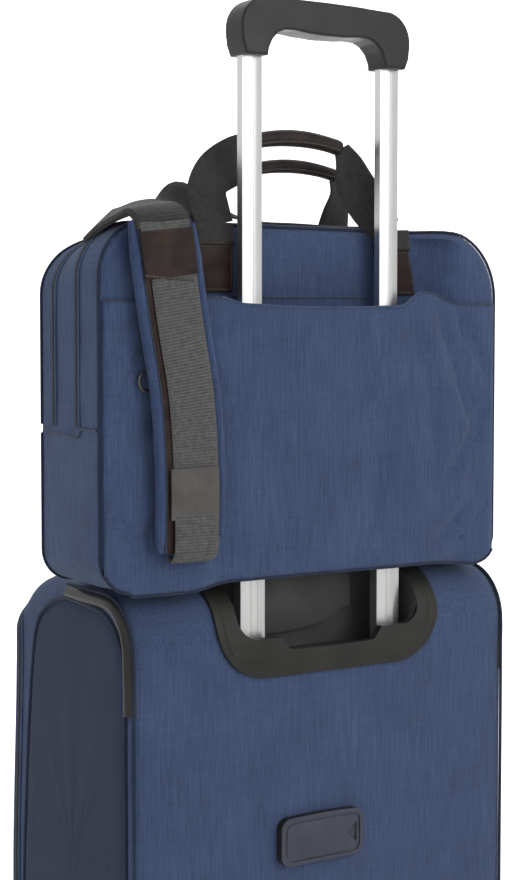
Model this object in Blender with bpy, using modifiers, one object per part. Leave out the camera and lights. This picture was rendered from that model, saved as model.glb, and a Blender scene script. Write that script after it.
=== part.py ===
"""Rolling case with a laptop bag riding on its telescopic handle.

Metres, +Z up. The case stands on two wheels and two feet. Inside the script, y is counted
from the case's flat back, where the telescopic handle is, and grows towards the opening lid.
The root empty moves that zero so that the finished object is centred on its origin.
"""
import math

import bmesh
import bpy
from mathutils import Matrix, Vector

# Rolling case
CASE_HALF_WIDTH = 0.200
CASE_BOTTOM = 0.060
CASE_TOP = 0.550
CASE_DEPTH = 0.229
WALL = 0.004
SPLIT_Y = 0.214            # the zip line between shell and lid
BACK_TOP_RADIUS = 0.050
FRONT_TOP_RADIUS = 0.070
BOTTOM_RADIUS = 0.030
EDGE_ROUNDING = 0.008
GAP = 0.0003               # clearance between touching pieces
CENTRE_Y = 0.1157          # middle of the whole object's depth

# Telescopic handle
POLE_X = 0.0735
POLE_Y = 0.019
OUTER_TUBE = (0.030, 0.018)
LOWER_TUBE = (0.025, 0.014)
UPPER_TUBE = (0.020, 0.011)
CUP_FLOOR = CASE_TOP - 0.066
LOWER_TOP = CASE_TOP + 0.198
UPPER_TOP = CASE_TOP + 0.452
GRIP_TOP = CASE_TOP + 0.502
TUBE_OVERLAP = 0.090

# Wheels
WHEEL_RADIUS = 0.027
WHEEL_X = 0.164
WHEEL_Y = 0.022

# Laptop bag; its heights are counted from the case's top
BAG_LEFT = -0.228
BAG_RIGHT = 0.190
BAG_FOOT = CASE_TOP + 0.0035
BAG_TOP = CASE_TOP + 0.309
BAG_BACK = 0.0023
BAG_SPLIT_Y = 0.088
BAG_FRONT = 0.115
BAG_SEAM = CASE_TOP + 0.135
BAG_WALL = 0.004
SLEEVE = (-0.124, 0.116)   # left and right ends of the channel behind the sleeve panel
SLEEVE_DEPTH = 0.036
HANDLE_X = -0.0045         # middle of the near carry handle
TAB_SPACING = 0.097
TAB_HALF_WIDTH = 0.0195
HANDLE_ROOT = CASE_TOP + 0.310
PAD_HALF_WIDTH = 0.0325
PAD_THICKNESS = 0.009
PAD_TOP = CASE_TOP + 0.2995


# ---------------------------------------------------------------- scene and materials

for stale in list(bpy.data.objects):
    bpy.data.objects.remove(stale)


def new_collection(name):
    """Make a collection under the scene."""
    collection = bpy.data.collections.new(name)
    bpy.context.scene.collection.children.link(collection)
    return collection


PARTS = new_collection("rolling_laptop_case")
CUTTERS = new_collection("cutters")


def material(name, colour, roughness, metallic=0.0):
    """A plain Principled material."""
    made = bpy.data.materials.new(name)
    made.use_nodes = True
    shader = made.node_tree.nodes["Principled BSDF"]
    shader.inputs["Base Color"].default_value = (*colour, 1.0)
    shader.inputs["Roughness"].default_value = roughness
    shader.inputs["Metallic"].default_value = metallic
    made.diffuse_color = (*colour, 1.0)
    return made


NAVY = material("navy_fabric", (0.035, 0.070, 0.155), 0.9)
PIPING = material("piping", (0.020, 0.024, 0.040), 0.7)
PLASTIC = material("black_plastic", (0.030, 0.030, 0.032), 0.45)
SATIN = material("satin_grip", (0.035, 0.035, 0.038), 0.35)
METAL = material("pole_metal", (0.80, 0.80, 0.79), 0.28, 1.0)
STEEL = material("steel", (0.55, 0.55, 0.56), 0.35, 1.0)
RUBBER = material("rubber", (0.025, 0.025, 0.026), 0.8)
LEATHER = material("brown_leather", (0.055, 0.032, 0.024), 0.5)
WEBBING = material("grey_webbing", (0.060, 0.062, 0.060), 0.85)
LINING = material("lining", (0.045, 0.047, 0.052), 0.85)
PAPER = material("tag_card", (0.70, 0.70, 0.68), 0.8)


# ---------------------------------------------------------------- bodies

ROOT = bpy.data.objects.new("root", None)
ROOT.location = (0, -CENTRE_Y, 0)
PARTS.objects.link(ROOT)


def anchor(name, location):
    """An empty on a joint's axis, which carries one moving body's pieces."""
    empty = bpy.data.objects.new("body_" + name, None)
    empty.location = location
    empty.parent = ROOT
    PARTS.objects.link(empty)
    return empty


TAG_X = -0.0135
CASE = anchor("case", (0, 0, 0))
LID = anchor("lid", (CASE_HALF_WIDTH, SPLIT_Y, CASE_BOTTOM))
TAG = anchor("tag_insert", (TAG_X, 0, CASE_TOP - 0.228))
CASE_ZIP = anchor("case_zip", (-CASE_HALF_WIDTH, SPLIT_Y, 0.150))
LOWER = anchor("lower_stage", (0, POLE_Y, CUP_FLOOR))
UPPER = anchor("upper_stage", (0, POLE_Y, LOWER_TOP))
BUTTON = anchor("button", (0, POLE_Y, GRIP_TOP))
BAG = anchor("bag", (0, POLE_Y, BAG_FOOT))
FLAP = anchor("flap", (0, BAG_FRONT, BAG_SEAM))
NEAR = anchor("near_handle", (0, 0.0344, HANDLE_ROOT))
FAR = anchor("far_handle", (0, 0.1135, HANDLE_ROOT))
PAD = anchor("shoulder_pad", (-0.176, -0.0085, PAD_TOP))
REAR_ZIP = anchor("rear_zip", (BAG_RIGHT, 0.0405, CASE_TOP + 0.20))
FRONT_ZIP = anchor("front_zip", (BAG_RIGHT, 0.0825, CASE_TOP + 0.24))
POCKET_ZIP = anchor("pocket_zip", (-0.213, BAG_FRONT, CASE_TOP + 0.172))
WHEELS = {side: anchor("wheel_" + side, (sign * WHEEL_X, WHEEL_Y, WHEEL_RADIUS))
          for side, sign in (("left", -1), ("right", 1))}


def finish(obj, name, paint, body, smooth=True):
    """Name a piece, paint it, put it in the parts and hang it on its body's empty."""
    for owner in list(obj.users_collection):
        owner.objects.unlink(obj)
    obj.name = name
    if body is None:
        CUTTERS.objects.link(obj)
        obj.parent = ROOT
        obj.hide_render = True
        obj.display_type = "WIRE"
        return obj
    PARTS.objects.link(obj)
    obj.data.materials.clear()
    obj.data.materials.append(paint)
    obj.location = Vector(obj.location) - Vector(body.location)
    obj.parent = body
    if smooth:
        obj.data.shade_smooth()
        obj.data.set_sharp_from_angle(angle=math.radians(35))
    return obj


# ---------------------------------------------------------------- shape tools

def corner(centre, radius, start, turn=90.0, steps=5):
    """Points on an arc in an outline's plane, from the start angle, in degrees."""
    points = []
    for step in range(steps + 1):
        angle = math.radians(start + turn * step / steps)
        points.append((centre[0] + radius * math.cos(angle), centre[1] + radius * math.sin(angle)))
    return points


def rounded(low_u, high_u, low_v, high_v, low_radius, high_radius=None, steps=4):
    """A rectangle with rounded corners: one radius for the low pair and one for the high pair."""
    top = low_radius if high_radius is None else high_radius
    points = corner((low_u + low_radius, low_v + low_radius), low_radius, 180, steps=steps)
    points += corner((high_u - low_radius, low_v + low_radius), low_radius, 270, steps=steps)
    points += corner((high_u - top, high_v - top), top, 0, steps=steps)
    points += corner((low_u + top, high_v - top), top, 90, steps=steps)
    return points


TURNS = {"XY": (0, 0, 0), "XZ": (math.radians(90), 0, 0), "YZ": (math.radians(90), 0, math.radians(90))}
EXTRUDED = {"XY": 2, "XZ": 1, "YZ": 0}


def meshed(name, curve, flatten=False):
    """The curve's finished surface as a mesh object, with its seams welded shut."""
    drawn = bpy.data.objects.new(name, curve)
    PARTS.objects.link(drawn)
    graph = bpy.context.evaluated_depsgraph_get()
    mesh = bpy.data.meshes.new_from_object(drawn.evaluated_get(graph))
    bpy.data.objects.remove(drawn)
    shape = bmesh.new()
    shape.from_mesh(mesh)
    bmesh.ops.remove_doubles(shape, verts=shape.verts, dist=0.000005)
    if flatten:
        bmesh.ops.dissolve_limit(shape, angle_limit=0.002, verts=shape.verts, edges=shape.edges)
    bmesh.ops.recalc_face_normals(shape, faces=shape.faces)
    shape.to_mesh(mesh)
    shape.free()
    obj = bpy.data.objects.new(name, mesh)
    PARTS.objects.link(obj)
    return obj


def add_line(curve, points, closed):
    """Add a line of straight stretches through the points to a curve."""
    spline = curve.splines.new("POLY")
    spline.points.add(len(points) - 1)
    for point, place in zip(spline.points, points):
        point.co = (*place, 1)
    spline.use_cyclic_u = closed


def plate(name, outline, low, high, plane, paint=None, body=None, bevel=0.0, hole=None):
    """A flat outline, with an inner outline as a hole, given thickness from low to high."""
    curve = bpy.data.curves.new(name, "CURVE")
    curve.dimensions = "2D"
    curve.fill_mode = "BOTH"
    curve.extrude = (high - low) / 2
    for line in [outline, hole] if hole else [outline]:
        add_line(curve, [(u, v, 0) for u, v in line], True)
    obj = meshed(name, curve, flatten=True)
    obj.rotation_euler = TURNS[plane]
    obj.location[EXTRUDED[plane]] = (low + high) / 2
    if bevel:
        round_edges(obj, bevel)
    return finish(obj, name, paint, body)


def round_edges(obj, width, segments=2, angle=40):
    """Round the sharp edges with a Bevel modifier."""
    modifier = obj.modifiers.new("rounding", "BEVEL")
    modifier.width = width
    modifier.segments = segments
    modifier.limit_method = "ANGLE"
    modifier.angle_limit = math.radians(angle)


def block(name, x, y, z, paint=None, body=None, bevel=0.0):
    """A box between two limits along each axis."""
    middle = [(a + b) / 2 for a, b in (x, y, z)]
    bpy.ops.mesh.primitive_cube_add(size=1, location=middle)
    obj = bpy.context.object
    size = [abs(b - a) for a, b in (x, y, z)]
    obj.data.transform(Matrix.Diagonal((*size, 1)))
    if bevel:
        round_edges(obj, bevel)
    return finish(obj, name, paint, body)


def rod(name, start, end, radius, paint=None, body=None, sides=16):
    """A round bar between two points."""
    start, end = Vector(start), Vector(end)
    bpy.ops.mesh.primitive_cylinder_add(vertices=sides, radius=radius, depth=(end - start).length,
                                        location=(start + end) / 2)
    obj = bpy.context.object
    obj.rotation_euler = (end - start).to_track_quat("Z", "Y").to_euler()
    return finish(obj, name, paint, body)


def turned(name, profile, centre, paint, body, steps=28):
    """A profile of (radius, height) pairs turned about an axis along X."""
    mesh = bpy.data.meshes.new(name)
    count = len(profile)
    mesh.from_pydata([(radius, 0, height) for radius, height in profile],
                     [(i, (i + 1) % count) for i in range(count)], [])
    obj = bpy.data.objects.new(name, mesh)
    PARTS.objects.link(obj)
    screw = obj.modifiers.new("turning", "SCREW")
    screw.steps = steps
    screw.render_steps = steps
    screw.use_merge_vertices = True
    screw.merge_threshold = 0.00001
    obj.rotation_euler = (0, math.radians(90), 0)
    obj.location = centre
    return finish(obj, name, paint, body, smooth=False)


def wire(name, points, radius, paint, body, closed=False, resolution=2):
    """A round wire, rail or cord through the points."""
    curve = bpy.data.curves.new(name, "CURVE")
    curve.dimensions = "3D"
    curve.bevel_depth = radius
    curve.bevel_resolution = resolution
    curve.use_fill_caps = not closed
    add_line(curve, points, closed)
    return finish(meshed(name, curve), name, paint, body)


def between(keys, steps):
    """Smooth rows of numbers through the key rows (Catmull-Rom), so many steps per stretch."""
    rows = []
    last = len(keys) - 1
    for index in range(last):
        before = keys[max(index - 1, 0)]
        start, end = keys[index], keys[index + 1]
        after = keys[min(index + 2, last)]
        for step in range(steps):
            t = step / steps
            rows.append([0.5 * (2 * b + (c - a) * t + (2 * a - 5 * b + 4 * c - d) * t ** 2
                                + (3 * b - a - 3 * c + d) * t ** 3)
                         for a, b, c, d in zip(before, start, end, after)])
    rows.append(list(keys[last]))
    return rows


def ribbon(name, stations, thickness, paint, body, steps=4):
    """A strap lofted through stations of (x, y, z, half-width vector x, y, z)."""
    rows = between(stations, steps)
    centres = [Vector(row[:3]) for row in rows]
    shape = bmesh.new()
    rings = []
    for index, row in enumerate(rows):
        ahead = centres[min(index + 1, len(rows) - 1)] - centres[max(index - 1, 0)]
        across = Vector(row[3:6])
        normal = ahead.cross(across).normalized() * thickness / 2
        corners = (centres[index] - across - normal, centres[index] + across - normal,
                   centres[index] + across + normal, centres[index] - across + normal)
        rings.append([shape.verts.new(place) for place in corners])
    for ring, following in zip(rings, rings[1:]):
        for side in range(4):
            shape.faces.new((ring[side], ring[(side + 1) % 4],
                             following[(side + 1) % 4], following[side]))
    shape.faces.new(rings[0])
    shape.faces.new(rings[-1])
    bmesh.ops.recalc_face_normals(shape, faces=shape.faces)
    mesh = bpy.data.meshes.new(name)
    shape.to_mesh(mesh)
    shape.free()
    obj = bpy.data.objects.new(name, mesh)
    PARTS.objects.link(obj)
    return finish(obj, name, paint, body)


def combine(target, tool, operation="DIFFERENCE"):
    """Cut the target with a tool, join the tool to it, or keep what they share."""
    modifier = target.modifiers.new(operation.lower(), "BOOLEAN")
    modifier.operation = operation
    modifier.object = tool
    modifier.solver = "EXACT"
    return target


# ---------------------------------------------------------------- rolling case

def case_outline(inset=0.0):
    """The case seen from its side, in y and z, moved inwards by an inset."""
    low_y, high_y = inset, CASE_DEPTH - inset
    low_z, high_z = CASE_BOTTOM + inset, CASE_TOP - inset
    foot = BOTTOM_RADIUS - inset
    back = BACK_TOP_RADIUS - inset
    front = FRONT_TOP_RADIUS - inset
    points = corner((low_y + foot, low_z + foot), foot, 180)
    points += corner((high_y - foot, low_z + foot), foot, 270)
    points += corner((high_y - front, high_z - front), front, 0, steps=7)
    points += corner((low_y + back, high_z - back), back, 90, steps=6)
    return points


def case_half(name, removed_y, body):
    """The shell or the lid: the hollow case without the part that lies between two depths."""
    half = plate(name, case_outline(), -CASE_HALF_WIDTH, CASE_HALF_WIDTH, "YZ", NAVY, body,
                 bevel=EDGE_ROUNDING)
    inside = plate(name + "_inside", case_outline(WALL), WALL - CASE_HALF_WIDTH,
                   CASE_HALF_WIDTH - WALL, "YZ")
    other = block(name + "_other_half", (-0.25, 0.25), removed_y, (0, 0.7))
    combine(half, inside)
    return combine(half, other)


def make_case():
    """The hollow shell with its opening for the handle cup, the lid and its pocket."""
    shell = case_half("case_shell", (SPLIT_Y - GAP, 0.30), CASE)
    opening = block("cup_opening", (-0.104, 0.104), (-0.02, 0.052), (CUP_FLOOR - 0.0025, 0.60))
    combine(shell, opening)
    case_half("case_lid", (-0.05, SPLIT_Y + GAP), LID)
    plate("lid_pocket", rounded(-0.160, 0.160, 0.095, 0.420, 0.030), CASE_DEPTH + GAP, 0.249,
          "XZ", NAVY, LID, bevel=0.009)


def make_handle_cup():
    """The plastic cup in the back top edge, with its bezel, finger notch and pole holes."""
    skin = 0.003
    radius = BACK_TOP_RADIUS
    centre = (radius, CASE_TOP - radius)
    outer = corner(centre, radius + GAP + skin, 180, turn=-90, steps=6)
    inner = corner(centre, radius + GAP, 90, turn=90, steps=6)
    band = [(-GAP - skin, 0.470)] + outer + [(0.066, CASE_TOP + GAP + skin)]
    band += [(0.066, CASE_TOP + GAP)] + inner + [(-GAP, 0.470)]
    cup = plate("handle_cup", band, -0.1195, 0.1195, "YZ", PLASTIC, CASE)
    shape = plate("cup_front_shape", rounded(-0.1195, 0.1195, 0.4705, 0.620, 0.038), -0.02, 0.10, "XZ")
    combine(cup, shape, "INTERSECT")
    bucket = block("cup_bucket", (-0.1035, 0.1035), (-0.0015, 0.0515), (CUP_FLOOR - 0.002, 0.5515))
    trimmed = plate("cup_bucket_limit", case_outline(-0.0012), -0.15, 0.15, "YZ")
    combine(bucket, trimmed, "INTERSECT")
    combine(cup, bucket, "UNION")
    recess = block("cup_recess", (-0.098, 0.098), (0.0042, 0.046), (CUP_FLOOR, 0.60))
    combine(cup, recess)
    back_gate = plate("cup_back_gate", rounded(-0.098, 0.098, 0.503, 0.620, 0.018), -0.02, 0.020, "XZ")
    combine(cup, back_gate)
    notch = [(-0.057, 0.510), (-0.046, 0.492), (0.046, 0.492), (0.057, 0.510)]
    combine(cup, plate("cup_finger_notch", notch, -0.02, 0.0043, "XZ"))
    for side, sign in (("left", -1), ("right", 1)):
        hole = plate("cup_pole_hole_" + side, tube_section(sign, (0.0265, 0.0155)),
                     CUP_FLOOR - 0.01, CUP_FLOOR + 0.01, "XY")
        combine(cup, hole)


def tube_section(sign, size, shrink=0.0):
    """The rounded-rectangle section of a handle tube, in x and y."""
    half_x = size[0] / 2 - shrink
    half_y = size[1] / 2 - shrink
    return rounded(sign * POLE_X - half_x, sign * POLE_X + half_x, POLE_Y - half_y, POLE_Y + half_y,
                   min(half_y * 0.55, half_x), steps=3)


def make_tube(name, sign, size, wall, low, high, paint, body):
    """One drawn tube of the telescopic handle."""
    plate(name, tube_section(sign, size), low, high, "XY", paint, body,
          hole=tube_section(sign, size, wall))


def make_telescopic_handle():
    """Three nested tubes on each side, the collars, the release rods, the grip and its button."""
    outer_top = CUP_FLOOR - 0.002 - GAP
    lower_foot = CUP_FLOOR - TUBE_OVERLAP
    upper_foot = LOWER_TOP - TUBE_OVERLAP
    for side, sign in (("left", -1), ("right", 1)):
        make_tube("outer_tube_" + side, sign, OUTER_TUBE, 0.0013, 0.0894, outer_top, METAL, CASE)
        make_tube("lower_tube_" + side, sign, LOWER_TUBE, 0.0011, lower_foot, LOWER_TOP, METAL, LOWER)
        make_tube("lower_collar_" + side, sign, (0.0275, 0.0168), 0.0029, LOWER_TOP + GAP,
                  LOWER_TOP + 0.010, PLASTIC, LOWER)
        make_tube("upper_tube_" + side, sign, UPPER_TUBE, 0.0012, upper_foot, UPPER_TOP, METAL, UPPER)
        rod("release_rod_" + side, (sign * POLE_X, POLE_Y, upper_foot + 0.010),
            (sign * POLE_X, POLE_Y, UPPER_TOP - 0.0005), 0.0025, STEEL, BUTTON, sides=10)
    block("tube_base_bracket", (-0.095, 0.095), (0.0085, 0.0275), (0.0790, 0.0890), PLASTIC, CASE, 0.001)
    block("tube_cover_panel", (-0.112, 0.112), (0.0285, 0.0305), (0.0647, CUP_FLOOR - 0.006), LINING, CASE)
    make_grip()


def make_grip():
    """The moulded grip with its two arms, and the push button that releases the tubes."""
    base = CASE_TOP
    right = [(0.0625, base + 0.4523), (0.0845, base + 0.4523), (0.0875, base + 0.466)]
    right += corner((0.0635, base + 0.4785), 0.0245, 0, steps=6)[1:-1]
    top = [(0.030, GRIP_TOP), (-0.030, GRIP_TOP)]
    left = [(-x, z) for x, z in reversed(right)]
    under = [(-0.0610, base + 0.462), (-0.0560, base + 0.471), (-0.046, base + 0.4765)]
    middle = [(-0.020, base + 0.4745), (0.020, base + 0.4745)]
    outline = right + top + left + under + middle + [(-x, z) for x, z in reversed(under)]
    grip = plate("telescopic_grip", outline, POLE_Y - 0.0121, POLE_Y + 0.0121, "XZ", SATIN, UPPER)
    side_view = [(POLE_Y - 0.0072, base + 0.445), (POLE_Y + 0.0072, base + 0.445),
                 (POLE_Y + 0.0078, base + 0.456), (POLE_Y + 0.0120, base + 0.476)]
    side_view += corner((POLE_Y + 0.0025, GRIP_TOP - 0.0095), 0.0095, 0, steps=5)
    side_view += corner((POLE_Y - 0.0025, GRIP_TOP - 0.0095), 0.0095, 90, steps=5)
    side_view += [(POLE_Y - 0.0120, base + 0.476), (POLE_Y - 0.0078, base + 0.456)]
    combine(grip, plate("grip_side_view", side_view, -0.10, 0.10, "YZ"), "INTERSECT")
    pocket = plate("button_pocket", rounded(-0.0180, 0.0180, POLE_Y - 0.0070, POLE_Y + 0.0070, 0.004),
                   GRIP_TOP - 0.014, GRIP_TOP + 0.01, "XY")
    combine(grip, pocket)
    plate("release_button", rounded(-0.0175, 0.0175, POLE_Y - 0.0065, POLE_Y + 0.0065, 0.0035),
          GRIP_TOP - 0.0050, GRIP_TOP + 0.0015, "XY", PLASTIC, BUTTON, bevel=0.001)
    turns, points_per_turn, coil_radius = 4, 10, 0.0035
    low, high = GRIP_TOP - 0.0131, GRIP_TOP - 0.0059
    coil = []
    for index in range(turns * points_per_turn + 1):
        share = index / (turns * points_per_turn)
        angle = 2 * math.pi * turns * share
        coil.append((coil_radius * math.cos(angle), POLE_Y + coil_radius * math.sin(angle),
                     low + (high - low) * share))
    wire("button_spring", coil, 0.0004, STEEL, UPPER, resolution=1)


def side_panel_line():
    """The raised seam on the case's side face, in y and z, from the guard's front end to its back end."""
    front = [(0.1180, 0.5378), (0.1340, 0.5310), (0.1560, 0.5215), (0.1700, 0.5110), (0.1780, 0.4960),
             (0.1820, 0.4780), (0.1880, 0.4480), (0.1990, 0.3500), (0.2060, 0.2600)]
    foot = [(0.2070, 0.1150)] + corner((0.1870, 0.1050), 0.0200, 0, turn=-90, steps=4)
    back = corner((0.0300, 0.1050), 0.0200, 270, turn=-90, steps=4) + [(0.0070, 0.1300), (0.0055, 0.4440)]
    return front + foot + back


def make_trim():
    """Seam piping, corner guards, the tag, and the two soft carry handles of the case."""
    radius = 0.0020
    for side, sign in (("left", -1), ("right", 1)):
        seam_x = sign * (CASE_HALF_WIDTH + GAP + radius)
        wire("side_piping_" + side, [(seam_x, y, z) for y, z in side_panel_line()], radius, PIPING, CASE)
        guard = [(0.1150, 0.5445)] + corner((0.0500, 0.4950), 0.0480, 90, turn=90, steps=7)
        guard = [(y, z + 0.0015) for y, z in guard] + [(0.0020, 0.4490), (0.0130, 0.4490)]
        guard += corner((0.0500, 0.4950), 0.0370, 180, turn=-90, steps=7) + [(0.1150, 0.5330)]
        inner = sign * (CASE_HALF_WIDTH + GAP)
        outer = sign * (CASE_HALF_WIDTH + 0.0036)
        plate("corner_guard_" + side, guard, min(inner, outer), max(inner, outer), "YZ", PLASTIC, CASE)
    make_tag()
    soft = 0.0050
    top = [(-0.085, 0.140, 0.5532), (-0.065, 0.140, 0.5545), (-0.038, 0.140, 0.5660), (0, 0.140, 0.5705)]
    top += [(-x, y, z) for x, y, z in reversed(top[:3])]
    ribbon("top_carry_handle", [(*p, 0, 0.012, 0) for p in top], soft, WEBBING, CASE, steps=3)
    side = [(0.2035, 0.100, 0.215), (0.2050, 0.100, 0.235), (0.2220, 0.100, 0.262), (0.2252, 0.100, 0.300)]
    side += [(x, y, 0.600 - z) for x, y, z in reversed(side[:3])]
    ribbon("side_carry_handle", [(*p, 0, 0.012, 0) for p in side], soft, WEBBING, CASE, steps=3)


def make_tag():
    """The tag holder on the case's back, with a window, a side slot and a card."""
    centre = CASE_TOP - 0.228
    frame = plate("id_tag_frame", rounded(TAG_X - 0.044, TAG_X + 0.044, centre - 0.021, centre + 0.021, 0.009),
                  -0.0080, -GAP, "XZ", PLASTIC, CASE, bevel=0.0015)
    window = rounded(TAG_X - 0.034, TAG_X + 0.030, centre - 0.013, centre + 0.013, 0.004)
    combine(frame, plate("tag_window", window, -0.02, -0.0040, "XZ"))
    slot = block("tag_slot", (TAG_X - 0.037, TAG_X + 0.060), (-0.0050, -0.0030),
                 (centre - 0.0155, centre + 0.0155))
    combine(frame, slot)
    block("id_tag_insert", (TAG_X - 0.0365, TAG_X + 0.0435), (-0.0046, -0.0034),
          (centre - 0.0150, centre + 0.0150), PAPER, TAG)


def make_wheels():
    """Wheel housings, axles, hubs, tyres, and the two front feet."""
    for side, sign in (("left", -1), ("right", 1)):
        inner, outer = sign * 0.1420, sign * 0.1860
        housing = plate("wheel_housing_" + side,
                        [(-0.0040, 0.0150), (0.0200, 0.0100), (0.0560, 0.0300), (0.0680, 0.0650),
                         (0.0300, 0.1000), (-0.0040, 0.1000)],
                        min(inner, outer), max(inner, outer), "YZ", PLASTIC, CASE)
        combine(housing, plate("case_clearance_" + side, case_outline(-GAP), -0.25, 0.25, "YZ"))
        centre = (sign * WHEEL_X, WHEEL_Y, WHEEL_RADIUS)
        slot = rod("wheel_slot_" + side, (centre[0] - 0.0125, WHEEL_Y, WHEEL_RADIUS),
                   (centre[0] + 0.0125, WHEEL_Y, WHEEL_RADIUS), WHEEL_RADIUS + 0.0030, sides=28)
        combine(housing, slot)
        bore = rod("axle_bore_" + side, (centre[0] - 0.04, WHEEL_Y, WHEEL_RADIUS),
                   (centre[0] + 0.04, WHEEL_Y, WHEEL_RADIUS), 0.0034, sides=16)
        combine(housing, bore)
        rod("axle_" + side, (centre[0] - 0.0215, WHEEL_Y, WHEEL_RADIUS),
            (centre[0] + 0.0215, WHEEL_Y, WHEEL_RADIUS), 0.0030, STEEL, CASE)
        tread = 0.0100
        tyre = [(0.0182, tread), (0.0250, tread), (WHEEL_RADIUS, 0.0060), (WHEEL_RADIUS, -0.0060),
                (0.0250, -tread), (0.0182, -tread)]
        turned("wheel_tyre_" + side, tyre, centre, RUBBER, WHEELS[side])
        hub = [(0.0034, 0.0110), (0.0070, 0.0110), (0.0085, 0.0070), (0.0150, 0.0070), (0.0179, 0.0100),
               (0.0179, -0.0100), (0.0150, -0.0070), (0.0085, -0.0070), (0.0070, -0.0110), (0.0034, -0.0110)]
        turned("wheel_hub_" + side, hub, centre, PLASTIC, WHEELS[side])
        foot = sign * 0.1400
        block("front_foot_" + side, (foot - 0.018, foot + 0.018), (0.168, 0.198),
              (0, CASE_BOTTOM - GAP), PLASTIC, CASE, 0.003)


def make_slider(name, place, outward, body, loop=0.022):
    """A zip slider with its pull hanging below it, on a face that looks along outward."""
    reach = Vector(outward)
    along = Vector((abs(reach.y), abs(reach.x), 0))
    centre = Vector(place) + reach * 0.0024
    half = along * 0.0040 + reach * 0.0021 + Vector((0, 0, 0.0060))
    limits = [(min(centre[i] - half[i], centre[i] + half[i]), max(centre[i] - half[i], centre[i] + half[i]))
              for i in range(3)]
    slider = block(name, *limits, STEEL, body)
    plane = "YZ" if abs(reach.x) > 0.5 else "XZ"
    middle = centre.y if plane == "YZ" else centre.x
    top = centre.z - 0.0030
    pull = rounded(middle - 0.0036, middle + 0.0036, top - loop, top, 0.0030, 0.0015, steps=3)
    eye = rounded(middle - 0.0016, middle + 0.0016, top - loop + 0.0022, top - 0.0110, 0.0015, steps=3)
    depth = centre.x if plane == "YZ" else centre.y
    flat = plate(name + "_pull", pull, depth - 0.0008, depth + 0.0008, plane, hole=eye)
    combine(slider, flat, "UNION")


# ---------------------------------------------------------------- laptop bag

def bag_outline(inset=0.0):
    """The bag seen from its back, in x and z, moved inwards by an inset."""
    return rounded(BAG_LEFT + inset, BAG_RIGHT - inset, BAG_FOOT + inset, BAG_TOP - inset,
                   0.026 - inset, 0.042 - inset, steps=5)


def make_bag():
    """The bag's body with its sleeve channel and compartments, and the flap that opens forwards."""
    body = plate("bag_body", bag_outline(), BAG_BACK, BAG_FRONT, "XZ", NAVY, BAG, bevel=0.006)
    upper_front = block("bag_upper_front", (-0.30, 0.30), (BAG_SPLIT_Y, 0.20), (BAG_SEAM - GAP, 0.95))
    combine(body, upper_front)
    hollow = plate("bag_hollow", bag_outline(BAG_WALL), SLEEVE_DEPTH + BAG_WALL, BAG_FRONT - BAG_WALL, "XZ")
    combine(body, hollow)
    for side, low, high in (("left", BAG_LEFT + BAG_WALL, SLEEVE[0] - BAG_WALL),
                            ("right", SLEEVE[1] + BAG_WALL, BAG_RIGHT - BAG_WALL)):
        outline = rounded(low, high, BAG_FOOT + 0.020, BAG_TOP - 0.020, 0.020)
        combine(body, plate("bag_side_hollow_" + side, outline, BAG_BACK + BAG_WALL,
                            SLEEVE_DEPTH + BAG_WALL + 0.001, "XZ"))
    channel = block("sleeve_channel", SLEEVE, (-0.02, SLEEVE_DEPTH), (0.50, 0.95))
    combine(body, channel)
    plate("sleeve_panel", rounded(BAG_LEFT + 0.004, BAG_RIGHT - 0.004, CASE_TOP + 0.001, CASE_TOP + 0.243,
                                  0.022, 0.002), 0, 0.0020, "XZ", NAVY, BAG)
    plate("laptop_divider", rounded(BAG_LEFT + 0.008, BAG_RIGHT - 0.008, BAG_FOOT + BAG_WALL + 0.001,
                                    CASE_TOP + 0.270, 0.026, 0.006), 0.068, 0.071, "XZ", LINING, BAG)
    flap = plate("bag_front_flap", bag_outline(), BAG_SPLIT_Y + GAP, BAG_FRONT, "XZ", NAVY, FLAP,
                 bevel=0.008)
    combine(flap, plate("flap_hollow", bag_outline(BAG_WALL), 0.05, BAG_FRONT - BAG_WALL, "XZ"))
    combine(flap, block("flap_lower", (-0.30, 0.30), (0.05, 0.20), (0.5, BAG_SEAM)))


def make_carry_handle(prefix, body, grip_middle, grip_height, grip_y, stations, radius=0.0095):
    """Two webbing legs that fold into a leather-covered grip."""
    half = 0.046
    arch = [(grip_middle + half * share, grip_y, grip_height - 0.006 * share ** 2)
            for share in (-1.0, -0.75, -0.5, -0.25, 0.0, 0.25, 0.5, 0.75, 1.0)]
    wire(prefix + "_grip", arch, radius, LEATHER, body)
    for side in ("left", "right"):
        ribbon("%s_web_%s" % (prefix, side), stations[side], 0.0022, WEBBING, body, steps=4)


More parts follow.
